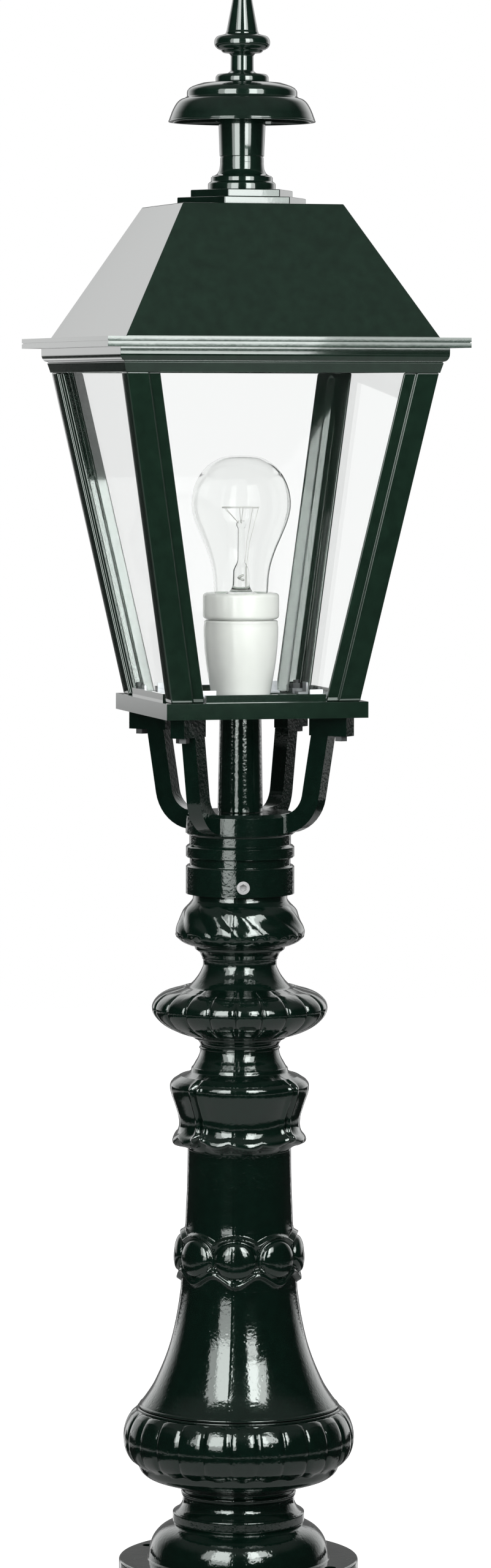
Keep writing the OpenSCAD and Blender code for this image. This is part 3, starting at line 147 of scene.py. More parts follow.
# Straight behind it is dimmer, so that the rims of the round castings stay green
middle_side, middle_dimming = (0.90, 0.95), -0.85
middle = maths(room, "MULTIPLY_ADD", room_ramp(behind, middle_side), middle_dimming, 1.0)
sweep = maths(room, "MULTIPLY", sweep, middle)
# The ground is pale at the lantern's foot, with one more pale band between it and the horizon
ground_edge, ground_level = (-0.48, -0.40), 0.25
band_low_edge, band_high_edge, band_level = (-0.25, -0.21), (-0.2, -0.15), 0.34
ground = maths(room, "MULTIPLY", without(room_ramp(rise, ground_edge)), ground_level)
ground_band = maths(room, "MULTIPLY", room_ramp(rise, band_low_edge),
                    without(room_ramp(rise, band_high_edge)))
ground = maths(room, "MULTIPLY_ADD", ground_band, band_level, ground)
# The rest of the room is dark, up to a dim ceiling
ceiling_edge, ceiling_level, dark_level = (0.45, 0.8), 0.08, 0.012
ceiling = maths(room, "MULTIPLY_ADD", room_ramp(rise, ceiling_edge), ceiling_level, dark_level)
shown = maths(room, "ADD", maths(room, "ADD", sweep, ground), ceiling)
# Light that leaves a matt surface and then passes a pane counts as even light, not as white
even_level = 0.14
ray = step(room, "ShaderNodeLightPath")
seen = maths(room, "MAXIMUM", ray["Is Camera Ray"], ray["Is Transmission Ray"])
scattered = maths(room, "MINIMUM", ray["Diffuse Depth"], 1.0)
seen = maths(room, "MULTIPLY", seen, without(scattered))
gloss_ray = maths(room, "MULTIPLY", ray["Is Glossy Ray"], without(ray["Is Transmission Ray"]))
mirrored = maths(room, "MULTIPLY", gloss_ray, shown)
even = maths(room, "MULTIPLY", without(maths(room, "MAXIMUM", seen, gloss_ray)), even_level)
level = maths(room, "ADD", maths(room, "ADD", seen, mirrored), even)
sky = room.nodes["Background"]
sky.inputs["Color"].default_value = (1, 1, 1, 1)
room.links.new(level, sky.inputs["Strength"])

# Lamps: two tall softboxes close in front, left and right, each with a dimmer panel beside it and
# an apron below it. They make the upright highlights on everything that is round.
lamp_distance = 1.4
# Each has a name, its degrees to the right of the camera, the height of its middle, its width,
# its own height and its power in watts
lamp_rows = [("softbox_left", -24, 1.15, 0.595, 1.26, 12.4),
             ("panel_left", -43, 1.15, 0.34, 1.26, 3.0),
             ("apron_left", -24, 0.395, 0.595, 0.25, 1.05),
             ("softbox_right", 23, 1.271, 0.394, 1.018, 9.6),
             ("panel_right", 38.2, 1.271, 0.36, 1.018, 4.7),
             ("apron_right", 23, 0.6125, 0.394, 0.225, 1.4)]
for name, turn, middle_height, width, tall, power in lamp_rows:
    lamp = bpy.data.lights.new(name, "AREA")
    lamp.shape = "RECTANGLE"
    lamp.size, lamp.size_y = width, tall
    lamp.energy = power
    box_lamp = bpy.data.objects.new(name, lamp)
    scene.collection.objects.link(box_lamp)
    way = to_camera * math.cos(math.radians(turn)) + to_right * math.sin(math.radians(turn))
    box_lamp.location = way * lamp_distance + Vector((0, 0, middle_height))
    box_lamp.rotation_euler = way.to_track_quat("Z", "Y").to_euler()
    box_lamp.visible_camera = False

# Foot: one round casting, a thick flange with four bolt holes under a dome, a bead and a neck.
# Cast hollow with its underside machined flat, enamelled, and bolted down through the flange.


def rounded(corners, steps=5):
    """Outline through (radius, height) corners in mm; a third number rounds that corner off."""
    just_under_half = 0.49
    line = []
    for k, (r, z, *cut) in enumerate(corners):
        here = np.array((r, z), float)
        if not cut:
            line.append(here)
            continue
        ends = []
        for near in (corners[k - 1], corners[(k + 1) % len(corners)]):
            side = np.array(near[:2], float) - here
            ends.append(here + side * min(cut[0] / np.hypot(*side), just_under_half))
        start, end = ends
        for t in np.linspace(0, 1, steps + 1):
            line.append(start * (1 - t) ** 2 + here * 2 * t * (1 - t) + end * t ** 2)
    return [tuple(p) for p in line]


def flowing(points, steps=8):
    """A smooth curve through (radius, height) points in mm."""
    p = np.array([points[0]] + list(points) + [points[-1]], float)
    line = []
    for k in range(1, len(p) - 2):
        for t in np.arange(steps) / steps:
            line.append(0.5 * (2 * p[k] + (p[k + 1] - p[k - 1]) * t
                               + (2 * p[k - 1] - 5 * p[k] + 4 * p[k + 1] - p[k + 2]) * t * t
                               + (3 * p[k] - p[k - 1] - 3 * p[k + 1] + p[k + 2]) * t ** 3))
    return [tuple(q) for q in line] + [tuple(points[-1])]


def finely(line, gap):
    """The same outline with points at most gap mm apart."""
    fine = [line[0]]
    for a, b in zip(line, line[1:]):
        parts = max(1, math.ceil(math.dist(a, b) / gap))
        fine += [(a[0] + (b[0] - a[0]) * k / parts, a[1] + (b[1] - a[1]) * k / parts)
                 for k in range(1, parts + 1)]
    return fine


def piece_of(name, points, faces, material, body, sharp=38):
    """A mesh piece from points in metres, smooth between sharp corners, riding on a body."""
    mesh = bpy.data.meshes.new(name)
    mesh.from_pydata(points, [], faces)
    work = bmesh.new()
    work.from_mesh(mesh)
    bmesh.ops.remove_doubles(work, verts=work.verts, dist=1e-6)
    bmesh.ops.recalc_face_normals(work, faces=work.faces)
    work.to_mesh(mesh)
    work.free()
    mesh.polygons.foreach_set("use_smooth", [True] * len(mesh.polygons))
    mesh.set_sharp_from_angle(angle=math.radians(sharp))
    mesh.materials.append(material)
    piece = bpy.data.objects.new(name, mesh)
    scene.collection.objects.link(piece)
    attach(piece, body)
    return piece


def turned(name, outline, columns, material, body, relief=None, sharp=38):
    """Turns a closed outline round the axis. relief moves each point, by its bearing in degrees."""
    outline = np.array(outline, float)
    rows = len(outline)
    bearing = np.broadcast_to(np.arange(columns) * 360.0 / columns, (rows, columns))
    radius = np.repeat(outline[:, :1], columns, 1)
    height = np.repeat(outline[:, 1:], columns, 1)
    if relief:
        radius, height = relief(bearing, radius, height)
    a = np.radians(bearing)
    points = np.stack([radius * np.cos(a), radius * np.sin(a), height], -1).reshape(-1, 3) / 1000
    i, j = np.meshgrid(np.arange(rows), np.arange(columns), indexing="ij")
    up, along = (i + 1) % rows, (j + 1) % columns
    faces = np.stack([i * columns + j, i * columns + along,
                      up * columns + along, up * columns + j], -1)
    return piece_of(name, points.tolist(), faces.reshape(-1, 4).tolist(), material, body, sharp)


def cut_out(piece, cutters):
    """Cuts closed meshes out of a piece and clears them away."""
    for cutter in cutters:
        cut = piece.modifiers.new("cut", "BOOLEAN")
        cut.operation = "DIFFERENCE"
        cut.solver = "EXACT"
        cut.object = cutter
        bpy.context.view_layer.update()
        held = piece.evaluated_get(bpy.context.evaluated_depsgraph_get())
        shape = bpy.data.meshes.new_from_object(held)
        piece.modifiers.clear()
        old = piece.data
        piece.data = shape
        bpy.data.meshes.remove(old)
        bpy.data.objects.remove(cutter)


def effect_of(name, colour, **numbers):
    """A new node group that takes a colour and numbers, and gives Colour, Roughness and Height."""
    tree = bpy.data.node_groups.new(name, "ShaderNodeTree")
    takes = [("Colour", "NodeSocketColor", colour)]
    takes += [(label.replace("_", " "), "NodeSocketFloat", value)
              for label, value in numbers.items()]
    for label, kind, value in takes:
        socket = tree.interface.new_socket(label, in_out="INPUT", socket_type=kind)
        socket.default_value = value
    for label, kind in (("Colour", "NodeSocketColor"), ("Roughness", "NodeSocketFloat"),
                        ("Height", "NodeSocketFloat")):
        tree.interface.new_socket(label, in_out="OUTPUT", socket_type=kind)
    inside, outside = tree.nodes.new("NodeGroupInput"), tree.nodes.new("NodeGroupOutput")
    return tree, inside.outputs, outside.inputs


def toned(tree, colour, share):
    """The colour made lighter or darker by a share that changes over the surface."""
    return step(tree, "ShaderNodeVectorMath", {"operation": "SCALE"}, _0=colour,
                Scale=share)["Vector"]


# Painted skin: slow waves of the mould, a fine peel of the paint and small pits, which are only
# in some places and stop at the height Pits End. The paint drifts a little in tone.
skin, skin_in, skin_out = effect_of("painted_casting", (0.01, 0.03, 0.02, 1), Wave_Height=0.00004,
                                    Peel_Height=0.000004, Pit_Depth=0.00006, Pits_End=1.0,
                                    Gloss=0.1)
wave_scale, peel_scale, drift_scale, pit_scale = 75, 520, 150, 300
pit_edge, pit_floor, pits_fade = 0.34, 0.12, 0.02
pit_dulling, peel_dulling = 1500.0, 0.05
spot = step(skin, "ShaderNodeTexCoord")["Object"]
wave = step(skin, "ShaderNodeTexNoise", Vector=spot, Scale=wave_scale, Detail=3)["Fac"]
peel = step(skin, "ShaderNodeTexNoise", Vector=spot, Scale=peel_scale, Detail=3)["Fac"]
drift = step(skin, "ShaderNodeTexNoise", Vector=spot, Scale=drift_scale, Detail=5)["Fac"]
from_pit = step(skin, "ShaderNodeTexVoronoi", Vector=spot, Scale=pit_scale)["Distance"]
in_pit = step(skin, "ShaderNodeMapRange", {"interpolation_type": "SMOOTHSTEP"}, Value=from_pit,
              From_Min=pit_edge, From_Max=pit_floor)["Result"]
pitted = step(skin, "ShaderNodeMapRange", Value=drift, From_Min=0.44, From_Max=0.56)["Result"]
below_end = maths(skin, "SUBTRACT", skin_in["Pits End"],
                  step(skin, "ShaderNodeSeparateXYZ", Vector=spot)["Z"])
low_part = step(skin, "ShaderNodeMapRange", Value=below_end, From_Max=pits_fade)["Result"]
pit = maths(skin, "MULTIPLY", in_pit, maths(skin, "MULTIPLY", pitted, low_part))
raised = maths(skin, "MULTIPLY", wave, skin_in["Wave Height"])
raised = maths(skin, "MULTIPLY_ADD", peel, skin_in["Peel Height"], raised)
sunk = maths(skin, "MULTIPLY", pit, skin_in["Pit Depth"])
skin.links.new(maths(skin, "SUBTRACT", raised, sunk), skin_out["Height"])
drift_tone = step(skin, "ShaderNodeMapRange", Value=drift, From_Min=0.3, From_Max=0.75,
                  To_Min=0.82, To_Max=1.25)["Result"]
skin.links.new(toned(skin, skin_in["Colour"], drift_tone), skin_out["Colour"])
dull = maths(skin, "MULTIPLY_ADD", sunk, pit_dulling, skin_in["Gloss"])
dull = maths(skin, "MULTIPLY_ADD", peel, peel_dulling, dull)
skin.links.new(dull, skin_out["Roughness"])


def covered(name, effect, **values):
    """A new material with an effect laid over its shader; the third thing returned is its bump."""
    material, tree, shader = finish_of(name)
    cover = step(tree, "ShaderNodeGroup", {"node_tree": effect}, **values)
    tree.links.new(cover["Colour"], shader.inputs["Base Color"])
    tree.links.new(cover["Roughness"], shader.inputs["Roughness"])
    bump = step(tree, "ShaderNodeBump", Strength=1.0, Distance=1.0,
                Height=cover["Height"])["Normal"]
    tree.links.new(bump, shader.inputs["Normal"])
    return material, shader, bump


def painted(name, colour, wave, peel, pits, gloss, pits_end=1.0):
    """Gloss green enamel over cast or folded metal; wave, peel and pits are heights in metres."""
    material, shader, bump = covered(name, skin, Colour=colour, Wave_Height=wave, Peel_Height=peel,
                                     Pit_Depth=pits, Pits_End=pits_end, Gloss=gloss)
    # The paint under the coat mirrors with a green cast
    shader.inputs["Specular Tint"].default_value = (0.75, 1.0, 0.87, 1)
    shader.inputs["Coat Weight"].default_value = 1.0
    shader.inputs["Coat Roughness"].default_value = 0.045
    shader.inputs["Coat IOR"].default_value = 1.8
    # The coat is what mirrors the lamps, so it takes the bump too
    material.node_tree.links.new(bump, shader.inputs["Coat Normal"])
    return material


cast_green = painted("green_enamel_on_casting", (0.0018, 0.0088, 0.0056, 1), wave=0.00016,
                     peel=0.00007, pits=0.000035, gloss=0.10, pits_end=0.2)

foot_line = finely(rounded([
    (6.3, 54), (34, 54), (35, 53.4, 0.7), (35, 51.2, 0.8), (33.9, 50.3, 0.5)]), 2)
foot_line += flowing([(33.9, 50), (34.3, 46.5), (36, 43.4), (38.6, 41.3)], 5)
foot_line += rounded([(38.8, 41.1), (40.2, 40.6, 0.8), (40.2, 37.5, 1.6), (40.2, 34.4, 0.8),
                      (39.2, 34, 0.3)])
foot_line += flowing([(39.6, 33.8), (44.2, 32), (48.6, 29), (52.2, 24.4), (54.3, 18.6),
                      (55.2, 12.6)], 6)
foot_line += rounded([(55.9, 12, 0.3), (73, 12, 1.6), (73, 0.05, 0.7)])
foot_line += [(50.6, 0.05), (50.6, 12), (47.6, 23), (39.4, 30), (35.4, 35), (28.8, 46), (6.3, 46)]
foot = turned("foot_casting", foot_line, 256, cast_green, "post")
bolt_circle_r, bolt_hole_r, drill_length, flange_middle = 0.064, 0.0035, 0.03, 0.006
drills = []
for quarter in range(4):
    a = math.radians(45 + quarter * 90)
    hole = bpy.data.meshes.new("hole")
    work = bmesh.new()
    bmesh.ops.create_cone(work, cap_ends=True, segments=32, radius1=bolt_hole_r,
                          radius2=bolt_hole_r, depth=drill_length)
    bmesh.ops.translate(work, verts=work.verts, vec=(
        bolt_circle_r * math.cos(a), bolt_circle_r * math.sin(a), flange_middle))
    work.to_mesh(hole)
    work.free()
    drill = bpy.data.objects.new("drill", hole)
    scene.collection.objects.link(drill)
    drills.append(drill)
cut_out(foot, drills)
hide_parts("foot")

# Bowl: a casting with twenty-six lobes between a flared neck and a thin bead.
# It sits in the foot's rim and is held down by the tie tube.
lobe_count, lobe_valley_bearing = 26, 250.4
lobe_middle, lobe_half_tall, lobe_end = 87, 17, 0.16
lobe_rise, valley_depth, lobes_outside_r = 1.7, 1.5, 60


def bowl_lobes(bearing, radius, height):
    """Rounded lobes side by side, with narrow valleys between them."""
    across = np.abs(((bearing - lobe_valley_bearing) * lobe_count / 360) % 1 * 2 - 1)
    along = (height - lobe_middle) / lobe_half_tall
    top_curve = 1 - 0.1 * across ** 2
    ends = np.clip((top_curve - np.abs(along)) / lobe_end, 0, 1) ** 0.5
    swell = np.clip(1 - across ** 5, 0, 1) ** 0.6 * ends
    on_band = (np.abs(along) < 1) & (radius > lobes_outside_r)
    lobes = lobe_rise * swell - valley_depth * (1 - np.abs(along) ** 8)
    return radius + np.where(on_band, lobes, 0), height


bowl_line = rounded([(6.3, 54.05), (35, 54.05, 0.3), (36.4, 56.4, 0.5)])
bowl_line += flowing([(36.6, 56.6), (42, 58.7), (50, 61), (56, 63), (59.6, 65.9), (61.3, 69.4)], 5)
bowl_line += finely(flowing([(61.7, 70.2), (66.6, 74.6), (69.3, 80), (70.2, 86), (69.6, 92),
                             (67.9, 97), (65.2, 101), (62.6, 103.6)], 8), 0.5)
bowl_line += rounded([(61.3, 103.9), (61.9, 104.3, 0.3), (61.9, 105, 0.4), (61.2, 105.45, 0.3)])
bowl_line += [(55, 105.45), (53, 104), (53, 76), (49, 70), (30, 60.2), (6.3, 60.2)]
bowl = turned("bowl_casting", bowl_line, lobe_count * 20, cast_green, "post", bowl_lobes, sharp=50)
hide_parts("bowl")

# Column: a bell, a ring of eight cabochon bosses over a scalloped skirt, and a plain tapered shaft.
# One hollow casting, enamelled, standing on the bowl's bead.
boss_turn, boss_bearing = 45.0, 251.4
boss_middle, boss_half_wide, boss_half_tall, boss_rise = 199.6, 13.4, 11.2, 3.3
band_rise, band_top, band_top_sag = 1.9, 214.6, 4.2
band_low, scallop_rise, band_edge, band_r = 182.2, 6.4, 1.5, 38
casting_outside_r, mould_bearing = 30, 247


def line_at(offset, half_width):
    """1 on a line, falling softly to 0 beside it."""
    return np.exp(-(offset / half_width) ** 2)


def part_line(bearing, radius, ridge=0.15):
    """The seam where the two halves of the mould met, a thin ridge in mm down both sides."""
    off = np.abs((bearing - mould_bearing + 90) % 180 - 90) * np.pi / 180 * radius
    return ridge * line_at(off, 0.5)


def boss_ring(bearing, radius, height):
    """A raised band with a lip all round it and a boss in a moat on each of its eight fields."""
    # Each line's rise in mm is followed by its place and its half width
    side = ((bearing - boss_bearing + boss_turn / 2) % boss_turn) / (boss_turn / 2) - 1
    across = side * band_r * np.pi / 8
    top = band_top - band_top_sag * np.abs(side) ** 2
    low = band_low + scallop_rise * (1 - np.cos(np.pi * side)) / 2
    inside = np.minimum(top - height, height - low)
    band = np.clip(inside / band_edge, 0, 1) ** 0.5
    round_off = np.hypot(across / boss_half_wide, (height - boss_middle) / boss_half_tall)
    knob = boss_rise * np.clip(1 - round_off ** 3, 0, 1) ** 0.6
    moat = -0.9 * line_at(round_off - 1.08, 0.08) * band
    lip = 1.0 * line_at(inside - 1.9, 1.2)
    skirt = 1.0 * line_at(height - low - 4.6, 0.9) - 0.6 * line_at(height - low - 6.6, 0.8)
    ring = band_rise * band + moat + knob + (lip + skirt * (round_off > 1)) * band
    seam = np.where(radius > casting_outside_r, part_line(bearing, radius), 0)
    return radius + ring + seam, height


shaft_line = [(56, 105.6)]
shaft_line += rounded([(60.6, 105.6, 0.3), (60.9, 106.6, 0.6), (59.6, 107.7, 0.4)])
shaft_line += flowing([(58.9, 108.6), (57.1, 111), (54, 115.6), (51.3, 120.3), (47, 129.8),
                       (43.5, 139), (40.6, 149), (37.9, 161.8), (35.9, 175), (35.4, 180.4)], 8)
shaft_line += finely([(35.4, 180.6), (34.6, 199), (33, 216)], 0.55)
shaft_line += finely([(32.8, 217), (31.9, 238), (31.4, 260.9)], 6)
shaft_line += [(6.3, 260.9), (6.3, 253), (25.5, 253), (25.5, 180), (32, 150), (42, 125), (52, 110)]
column = turned("column_casting", shaft_line, 400, cast_green, "post", boss_ring, sharp=60)
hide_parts("column")

# Capital: a cup of four broad leaves with curled tips, a lobed disc, a bell of leaves, with plain
# necks between and the spigot that carries the head on top. One casting with a mould line.
leaf_turn, leaf_bearing = 90, 260.0
cup_low, cup_top, cup_waist_r, curl_top, curl_r = 263, 309, 35, 279, 31.5
rim_rise, groove_depth, waist_sag, sag_middle = 1.7, 2.2, 1.7, 285
disc_lobes, disc_valley_bearing, disc_valley_depth = 20, 252.0, 1.7
disc_low, disc_top, disc_neck_r = 331, 366, 33
bell_low, bell_top, bell_r, bell_fold_turn, bell_lean = 391, 414, 31, 30, 1.6
neck_r, tall_seam = 22.5, 0.22


def capital_relief(bearing, radius, height):
    """The leaves, lobes and folds of the capital, and its mould line."""
    turn = ((bearing - leaf_bearing + leaf_turn / 2) % leaf_turn) / (leaf_turn / 2) - 1
    off_edge = (1 - np.abs(turn)) * (leaf_turn / 2) * np.pi / 180 * np.maximum(radius, 20)
    # Leaf cup: a raised rim along each leaf's edge, a groove between leaves, a lobed tip that curls
    cup = (np.clip((height - cup_low) / 3, 0, 1) * np.clip((cup_top - height) / 5, 0, 1)
           * (radius > cup_waist_r))
    rim = rim_rise * line_at(off_edge - 2.6, 1.5) - groove_depth * line_at(off_edge, 1.2)
    droop = (np.clip((curl_top - height) / 12, 0, 1) * np.clip((radius - curl_r) / 3, 0, 1)
             * (height < curl_top))
    tips = np.abs(np.cos(1.5 * np.pi * turn)) ** 0.8 + 0.2 * np.sin(np.radians(bearing * 11))
    curl = droop * (1.0 * tips - 0.6)
    lift = droop * (2.4 * (1 - tips) + 4.5 * np.abs(turn) ** 3)
    sag = (-waist_sag * np.abs(turn) ** 3
           * np.clip(1 - np.abs(height - sag_middle) / 18, 0, 1))
    add = cup * (rim + sag) + curl
    # Lobed disc: rounded lobes over its edge
    across = np.abs(((bearing - disc_valley_bearing) * disc_lobes / 360) % 1 * 2 - 1)
    on_disc = np.clip((radius - disc_neck_r) / 6, 0, 1) * (height > disc_low) * (height < disc_top)
    add = add + on_disc * (-disc_valley_depth * (1 - np.clip(1 - across ** 5, 0, 1) ** 0.6))
    # Leaf bell: twelve narrow leaves that lean over, with a rippled skin and a rolled lower edge
    bell = (np.clip((height - bell_low) / 2.5, 0, 1) * np.clip((bell_top - height) / 4, 0, 1)
            * (radius > bell_r))
    lean = bearing + 5 * np.sin(bearing * np.pi / 60) + (height - 400) * bell_lean
    fold = np.abs(((lean - 8) % bell_fold_turn) / (bell_fold_turn / 2) - 1)
    leaves = 0.6 * np.clip(1 - fold ** 2.4, 0, 1) ** 0.8 - 0.6
    ripple = 0.25 * np.sin(np.radians(bearing * 11 + height * 26))
    roll = 0.4 * line_at(height - 393, 1.4) * (1 + np.sin(np.radians(bearing * 30)))
    add = add + bell * (leaves + ripple + roll)
    outer = radius > neck_r
    return (np.where(outer, radius + add + part_line(bearing, radius, tall_seam), radius),
            height + np.where(outer, lift, 0))


carved_gap = 1.1
capital_line = finely([(31.4, 261), (31.4, 264), (33.4, 264.9)], 1)
capital_line += finely(flowing([
    (35.4, 265.4), (38.9, 266.5), (40.4, 268.6), (39.8, 271.2), (38, 273.6), (36.9, 276.8),
    (36.8, 280.4), (37.4, 284.4), (38.6, 288.4), (40, 292.6), (41.4, 296.6), (42.2, 300.4),
    (42, 303.6), (40.2, 306)], 4), carved_gap)
capital_line += rounded([(37, 308, 1), (32.4, 309.6, 1.4), (29.6, 311, 0.8), (29.2, 313.4, 0.6),
                         (28.4, 313.8, 0.3)], 3)
capital_line += flowing([(28, 314.6), (26.8, 316.8), (25.4, 319.2), (24.3, 322), (23.9, 324.6)], 4)
capital_line += rounded([(24.5, 324.9, 0.2), (24.5, 325.7, 0.2), (23.9, 326, 0.2), (24, 327.8, 0.6),
                         (25.6, 330.2, 1.4), (28, 331.2, 0.5), (28.2, 332.2, 0.4)], 3)
capital_line += finely(flowing([
    (30.5, 332.6), (38, 335), (45.6, 338.9), (50.9, 343.7), (53.3, 348.4), (52.6, 353),
    (49, 357), (44.4, 359.6), (39.4, 361)], 5), carved_gap)
capital_line += rounded([(34.6, 361.8, 0.8), (31.4, 362.6, 1.2), (27.9, 365.8, 1.5),
                         (24.8, 369.9, 2), (22.2, 375.2, 1.5), (22.3, 379.2, 0.4),
                         (22.9, 379.5, 0.2), (22.9, 380.4, 0.2), (23.3, 381, 0.3),
                         (24.2, 383.4, 0.8), (27.2, 385.4, 0.6), (27.5, 387, 0.3),
                         (29, 388.2, 0.5)], 3)
capital_line += finely(flowing([
    (31.4, 388.3), (34.8, 389.8), (37.3, 391.7), (39, 394.2), (39.3, 396.9), (38.4, 399.8),
    (37, 402.7), (35.7, 405.8), (34.4, 409), (32.4, 411.6), (30.4, 413.6), (29, 415.4)], 4),
    carved_gap)
capital_line += [(28.6, 416.2), (28.6, 418.9), (25.98, 419), (25.98, 444.6), (25.2, 445.5),
                 (17.5, 445.5), (17.5, 436), (17.5, 269), (6.3, 269), (6.3, 261)]
capital = turned("capital_casting", capital_line, 320, cast_green, "post", capital_relief, sharp=60)
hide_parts("capital")

# Inside the pedestal: a threaded tube with nuts and washers ties the castings together, and a
# bracket holds the terminal block and the earth screw. Plated steel, brass and plastic.

# Worked metal: soft clouds in its tone and shine, and the fine marks of the tool.
metal, metal_in, metal_out = effect_of("worked_metal", (0.6, 0.6, 0.6, 1), Streak_Height=0.00001,
                                       Gloss=0.25, Clouding=1.0)
cloud_scale, streak_scale, cloud_dulling = 140, 900, 0.25
metal_spot = step(metal, "ShaderNodeTexCoord")["Object"]
cloud = step(metal, "ShaderNodeTexNoise", Vector=metal_spot, Scale=cloud_scale, Detail=4)["Fac"]
streaks = step(metal, "ShaderNodeTexNoise", Vector=metal_spot, Scale=streak_scale, Detail=2)["Fac"]
cloud_tone = step(metal, "ShaderNodeMapRange", Value=cloud, From_Min=0.3, From_Max=0.7,
                  To_Min=-0.25, To_Max=0.1)["Result"]
cloud_tone = maths(metal, "MULTIPLY_ADD", cloud_tone, metal_in["Clouding"], 1.0)
metal.links.new(toned(metal, metal_in["Colour"], cloud_tone), metal_out["Colour"])
haze = maths(metal, "MULTIPLY", cloud, metal_in["Clouding"])
haze = maths(metal, "MULTIPLY_ADD", haze, cloud_dulling, metal_in["Gloss"])
metal.links.new(haze, metal_out["Roughness"])
metal.links.new(maths(metal, "MULTIPLY", streaks, metal_in["Streak Height"]), metal_out["Height"])


def worked(name, colour, streaks, gloss, metallic, clouding=1.0):
    """Bare or plated metal, or with metallic 0 a moulded or fired part with the same fine marks."""
    material, shader, _ = covered(name, metal, Colour=colour, Streak_Height=streaks, Gloss=gloss,
                                  Clouding=clouding)
    shader.inputs["Metallic"].default_value = metallic
    return material


def finish_nodes(material, *names):
    """Gives CAD nodes whose shape is kept their material."""
    for name in names:
        for held in nodes[name].material_slots:
            held.material = material


zinc_plate = worked("zinc_plated_steel", (0.62, 0.64, 0.66, 1), streaks=0.00001, gloss=0.22,
                    metallic=1.0)
brass = worked("turned_brass", (0.78, 0.58, 0.28, 1), streaks=0.000008, gloss=0.18, metallic=1.0)
terminal_plastic = worked("terminal_plastic", (0.78, 0.77, 0.72, 1), streaks=0.00001, gloss=0.35,
                          metallic=0.0)
lead_rubber = worked("lead_sheath", (0.02, 0.02, 0.022, 1), streaks=0.00002, gloss=0.45,
                     metallic=0.0)
finish_nodes(zinc_plate, "tie_tube", "tie_nuts", "tie_washers", "terminal_bracket")
finish_nodes(brass, "terminal_screws", "earth_screw")
finish_nodes(terminal_plastic, "terminal_block")
finish_nodes(lead_rubber, "inner_lead")

# Spider: a grooved collar, a hub drum and four bent arms that end in lugs, in one casting.
# It turns on the column's spigot until three grub screws are tightened through its lowest band.


def softened(name, node_names, width, material, body):
    """Copies CAD nodes with their sharp edges rounded over by width in mm, as paint leaves them."""
    coplanar, bevelled, still_sharp = math.radians(0.4), math.radians(28), math.radians(50)
    work = bmesh.new()
    for node_name in node_names:
        work.from_mesh(nodes[node_name].data)
    bmesh.ops.remove_doubles(work, verts=work.verts, dist=2e-6)
    bmesh.ops.dissolve_limit(work, angle_limit=coplanar, verts=work.verts, edges=work.edges)
    edges = [e for e in work.edges if len(e.link_faces) == 2 and e.calc_face_angle(0) > bevelled]
    bmesh.ops.bevel(work, geom=edges, offset=width / 1000, offset_type="OFFSET", segments=2,
                    profile=0.5, affect="EDGES", clamp_overlap=True)
    bmesh.ops.remove_doubles(work, verts=work.verts, dist=1e-6)
    bmesh.ops.recalc_face_normals(work, faces=work.faces)
    mesh = bpy.data.meshes.new(name)
    work.to_mesh(mesh)
    work.free()
    mesh.polygons.foreach_set("use_smooth", [True] * len(mesh.polygons))
    mesh.set_sharp_from_angle(angle=still_sharp)
    mesh.materials.append(material)
    piece = bpy.data.objects.new(name, mesh)
    scene.collection.objects.link(piece)
    even = piece.modifiers.new("even", "WEIGHTED_NORMAL")
    even.keep_sharp = True
    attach(piece, body)
    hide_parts(*node_names)
    return piece


spider_green = painted("green_enamel_on_spider", (0.0020, 0.0090, 0.0058, 1), wave=0.00014,
                       peel=0.00009, pits=0.0, gloss=0.10)
spider = softened("spider_casting", ["spider"], 0.7, spider_green, "head")
bright_zinc = worked("bright_zinc_screws", (0.6, 0.61, 0.61, 1), streaks=0.00001, gloss=0.5,
                     metallic=0.6)
finish_nodes(bright_zinc, "grub_screws")

# Stem: a tapered cast sleeve round a threaded brass nipple, drawn tight by a nut on the floor
# plate. The lug bolts beside it hold the base frame on the spider's arms.
stem_line = rounded([(6, 468.9), (13.6, 468.9, 0.6), (13.6, 474, 0.4), (12.6, 528.4),
                     (12.5, 532.7, 0.3), (6, 532.7), (6, 528), (9, 525), (9, 477), (6, 474)])
stem = turned("stem_sleeve_casting", finely(stem_line, 6), 96, spider_green, "head")
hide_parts("stem_sleeve")
finish_nodes(brass, "stem_nipple", "nipple_nut")
dull_zinc = worked("dull_zinc_bolts", (0.16, 0.17, 0.17, 1), streaks=0.00001, gloss=0.4,
                   metallic=1.0)
finish_nodes(dull_zinc, "lug_bolts", "lug_nuts")

# Base frame: a square folded tray with a ledge and a low rim; a zinc floor plate is screwed into
# it. Sheet parts are folded, ground at the corners and enamelled as smooth as the sheet allows.
sheet_green = painted("green_enamel_on_sheet", (0.0078, 0.0205, 0.0130, 1), wave=0.000008,
                      peel=0.000002, pits=0.0, gloss=0.06)
base_tray = softened("base_frame_tray", ["base_frame"], 0.8, sheet_green, "head")
finish_nodes(zinc_plate, "floor_plate", "floor_screws", "post_cleats", "glass_clips")

# Corner posts: four angle bars leaning outward, each face stepped back beside the glass.
# Bolted to cleats at the foot and to gussets under the rails at the head.
flat_green = painted("green_enamel_on_posts", (0.0078, 0.0205, 0.0130, 1), wave=0.0, peel=0.0,
                     pits=0.0, gloss=0.06)
for corner in ("front_left", "front_right", "back_right", "back_left"):
    bar = softened("post_bar_" + corner, ["post_" + corner], 0.8, flat_green, "head")

# Panes: clear float glass, four leaning trapeziums that stand on the ledge behind the posts.
# Faintly wavy, with a breath of haze in places, and held by clips.


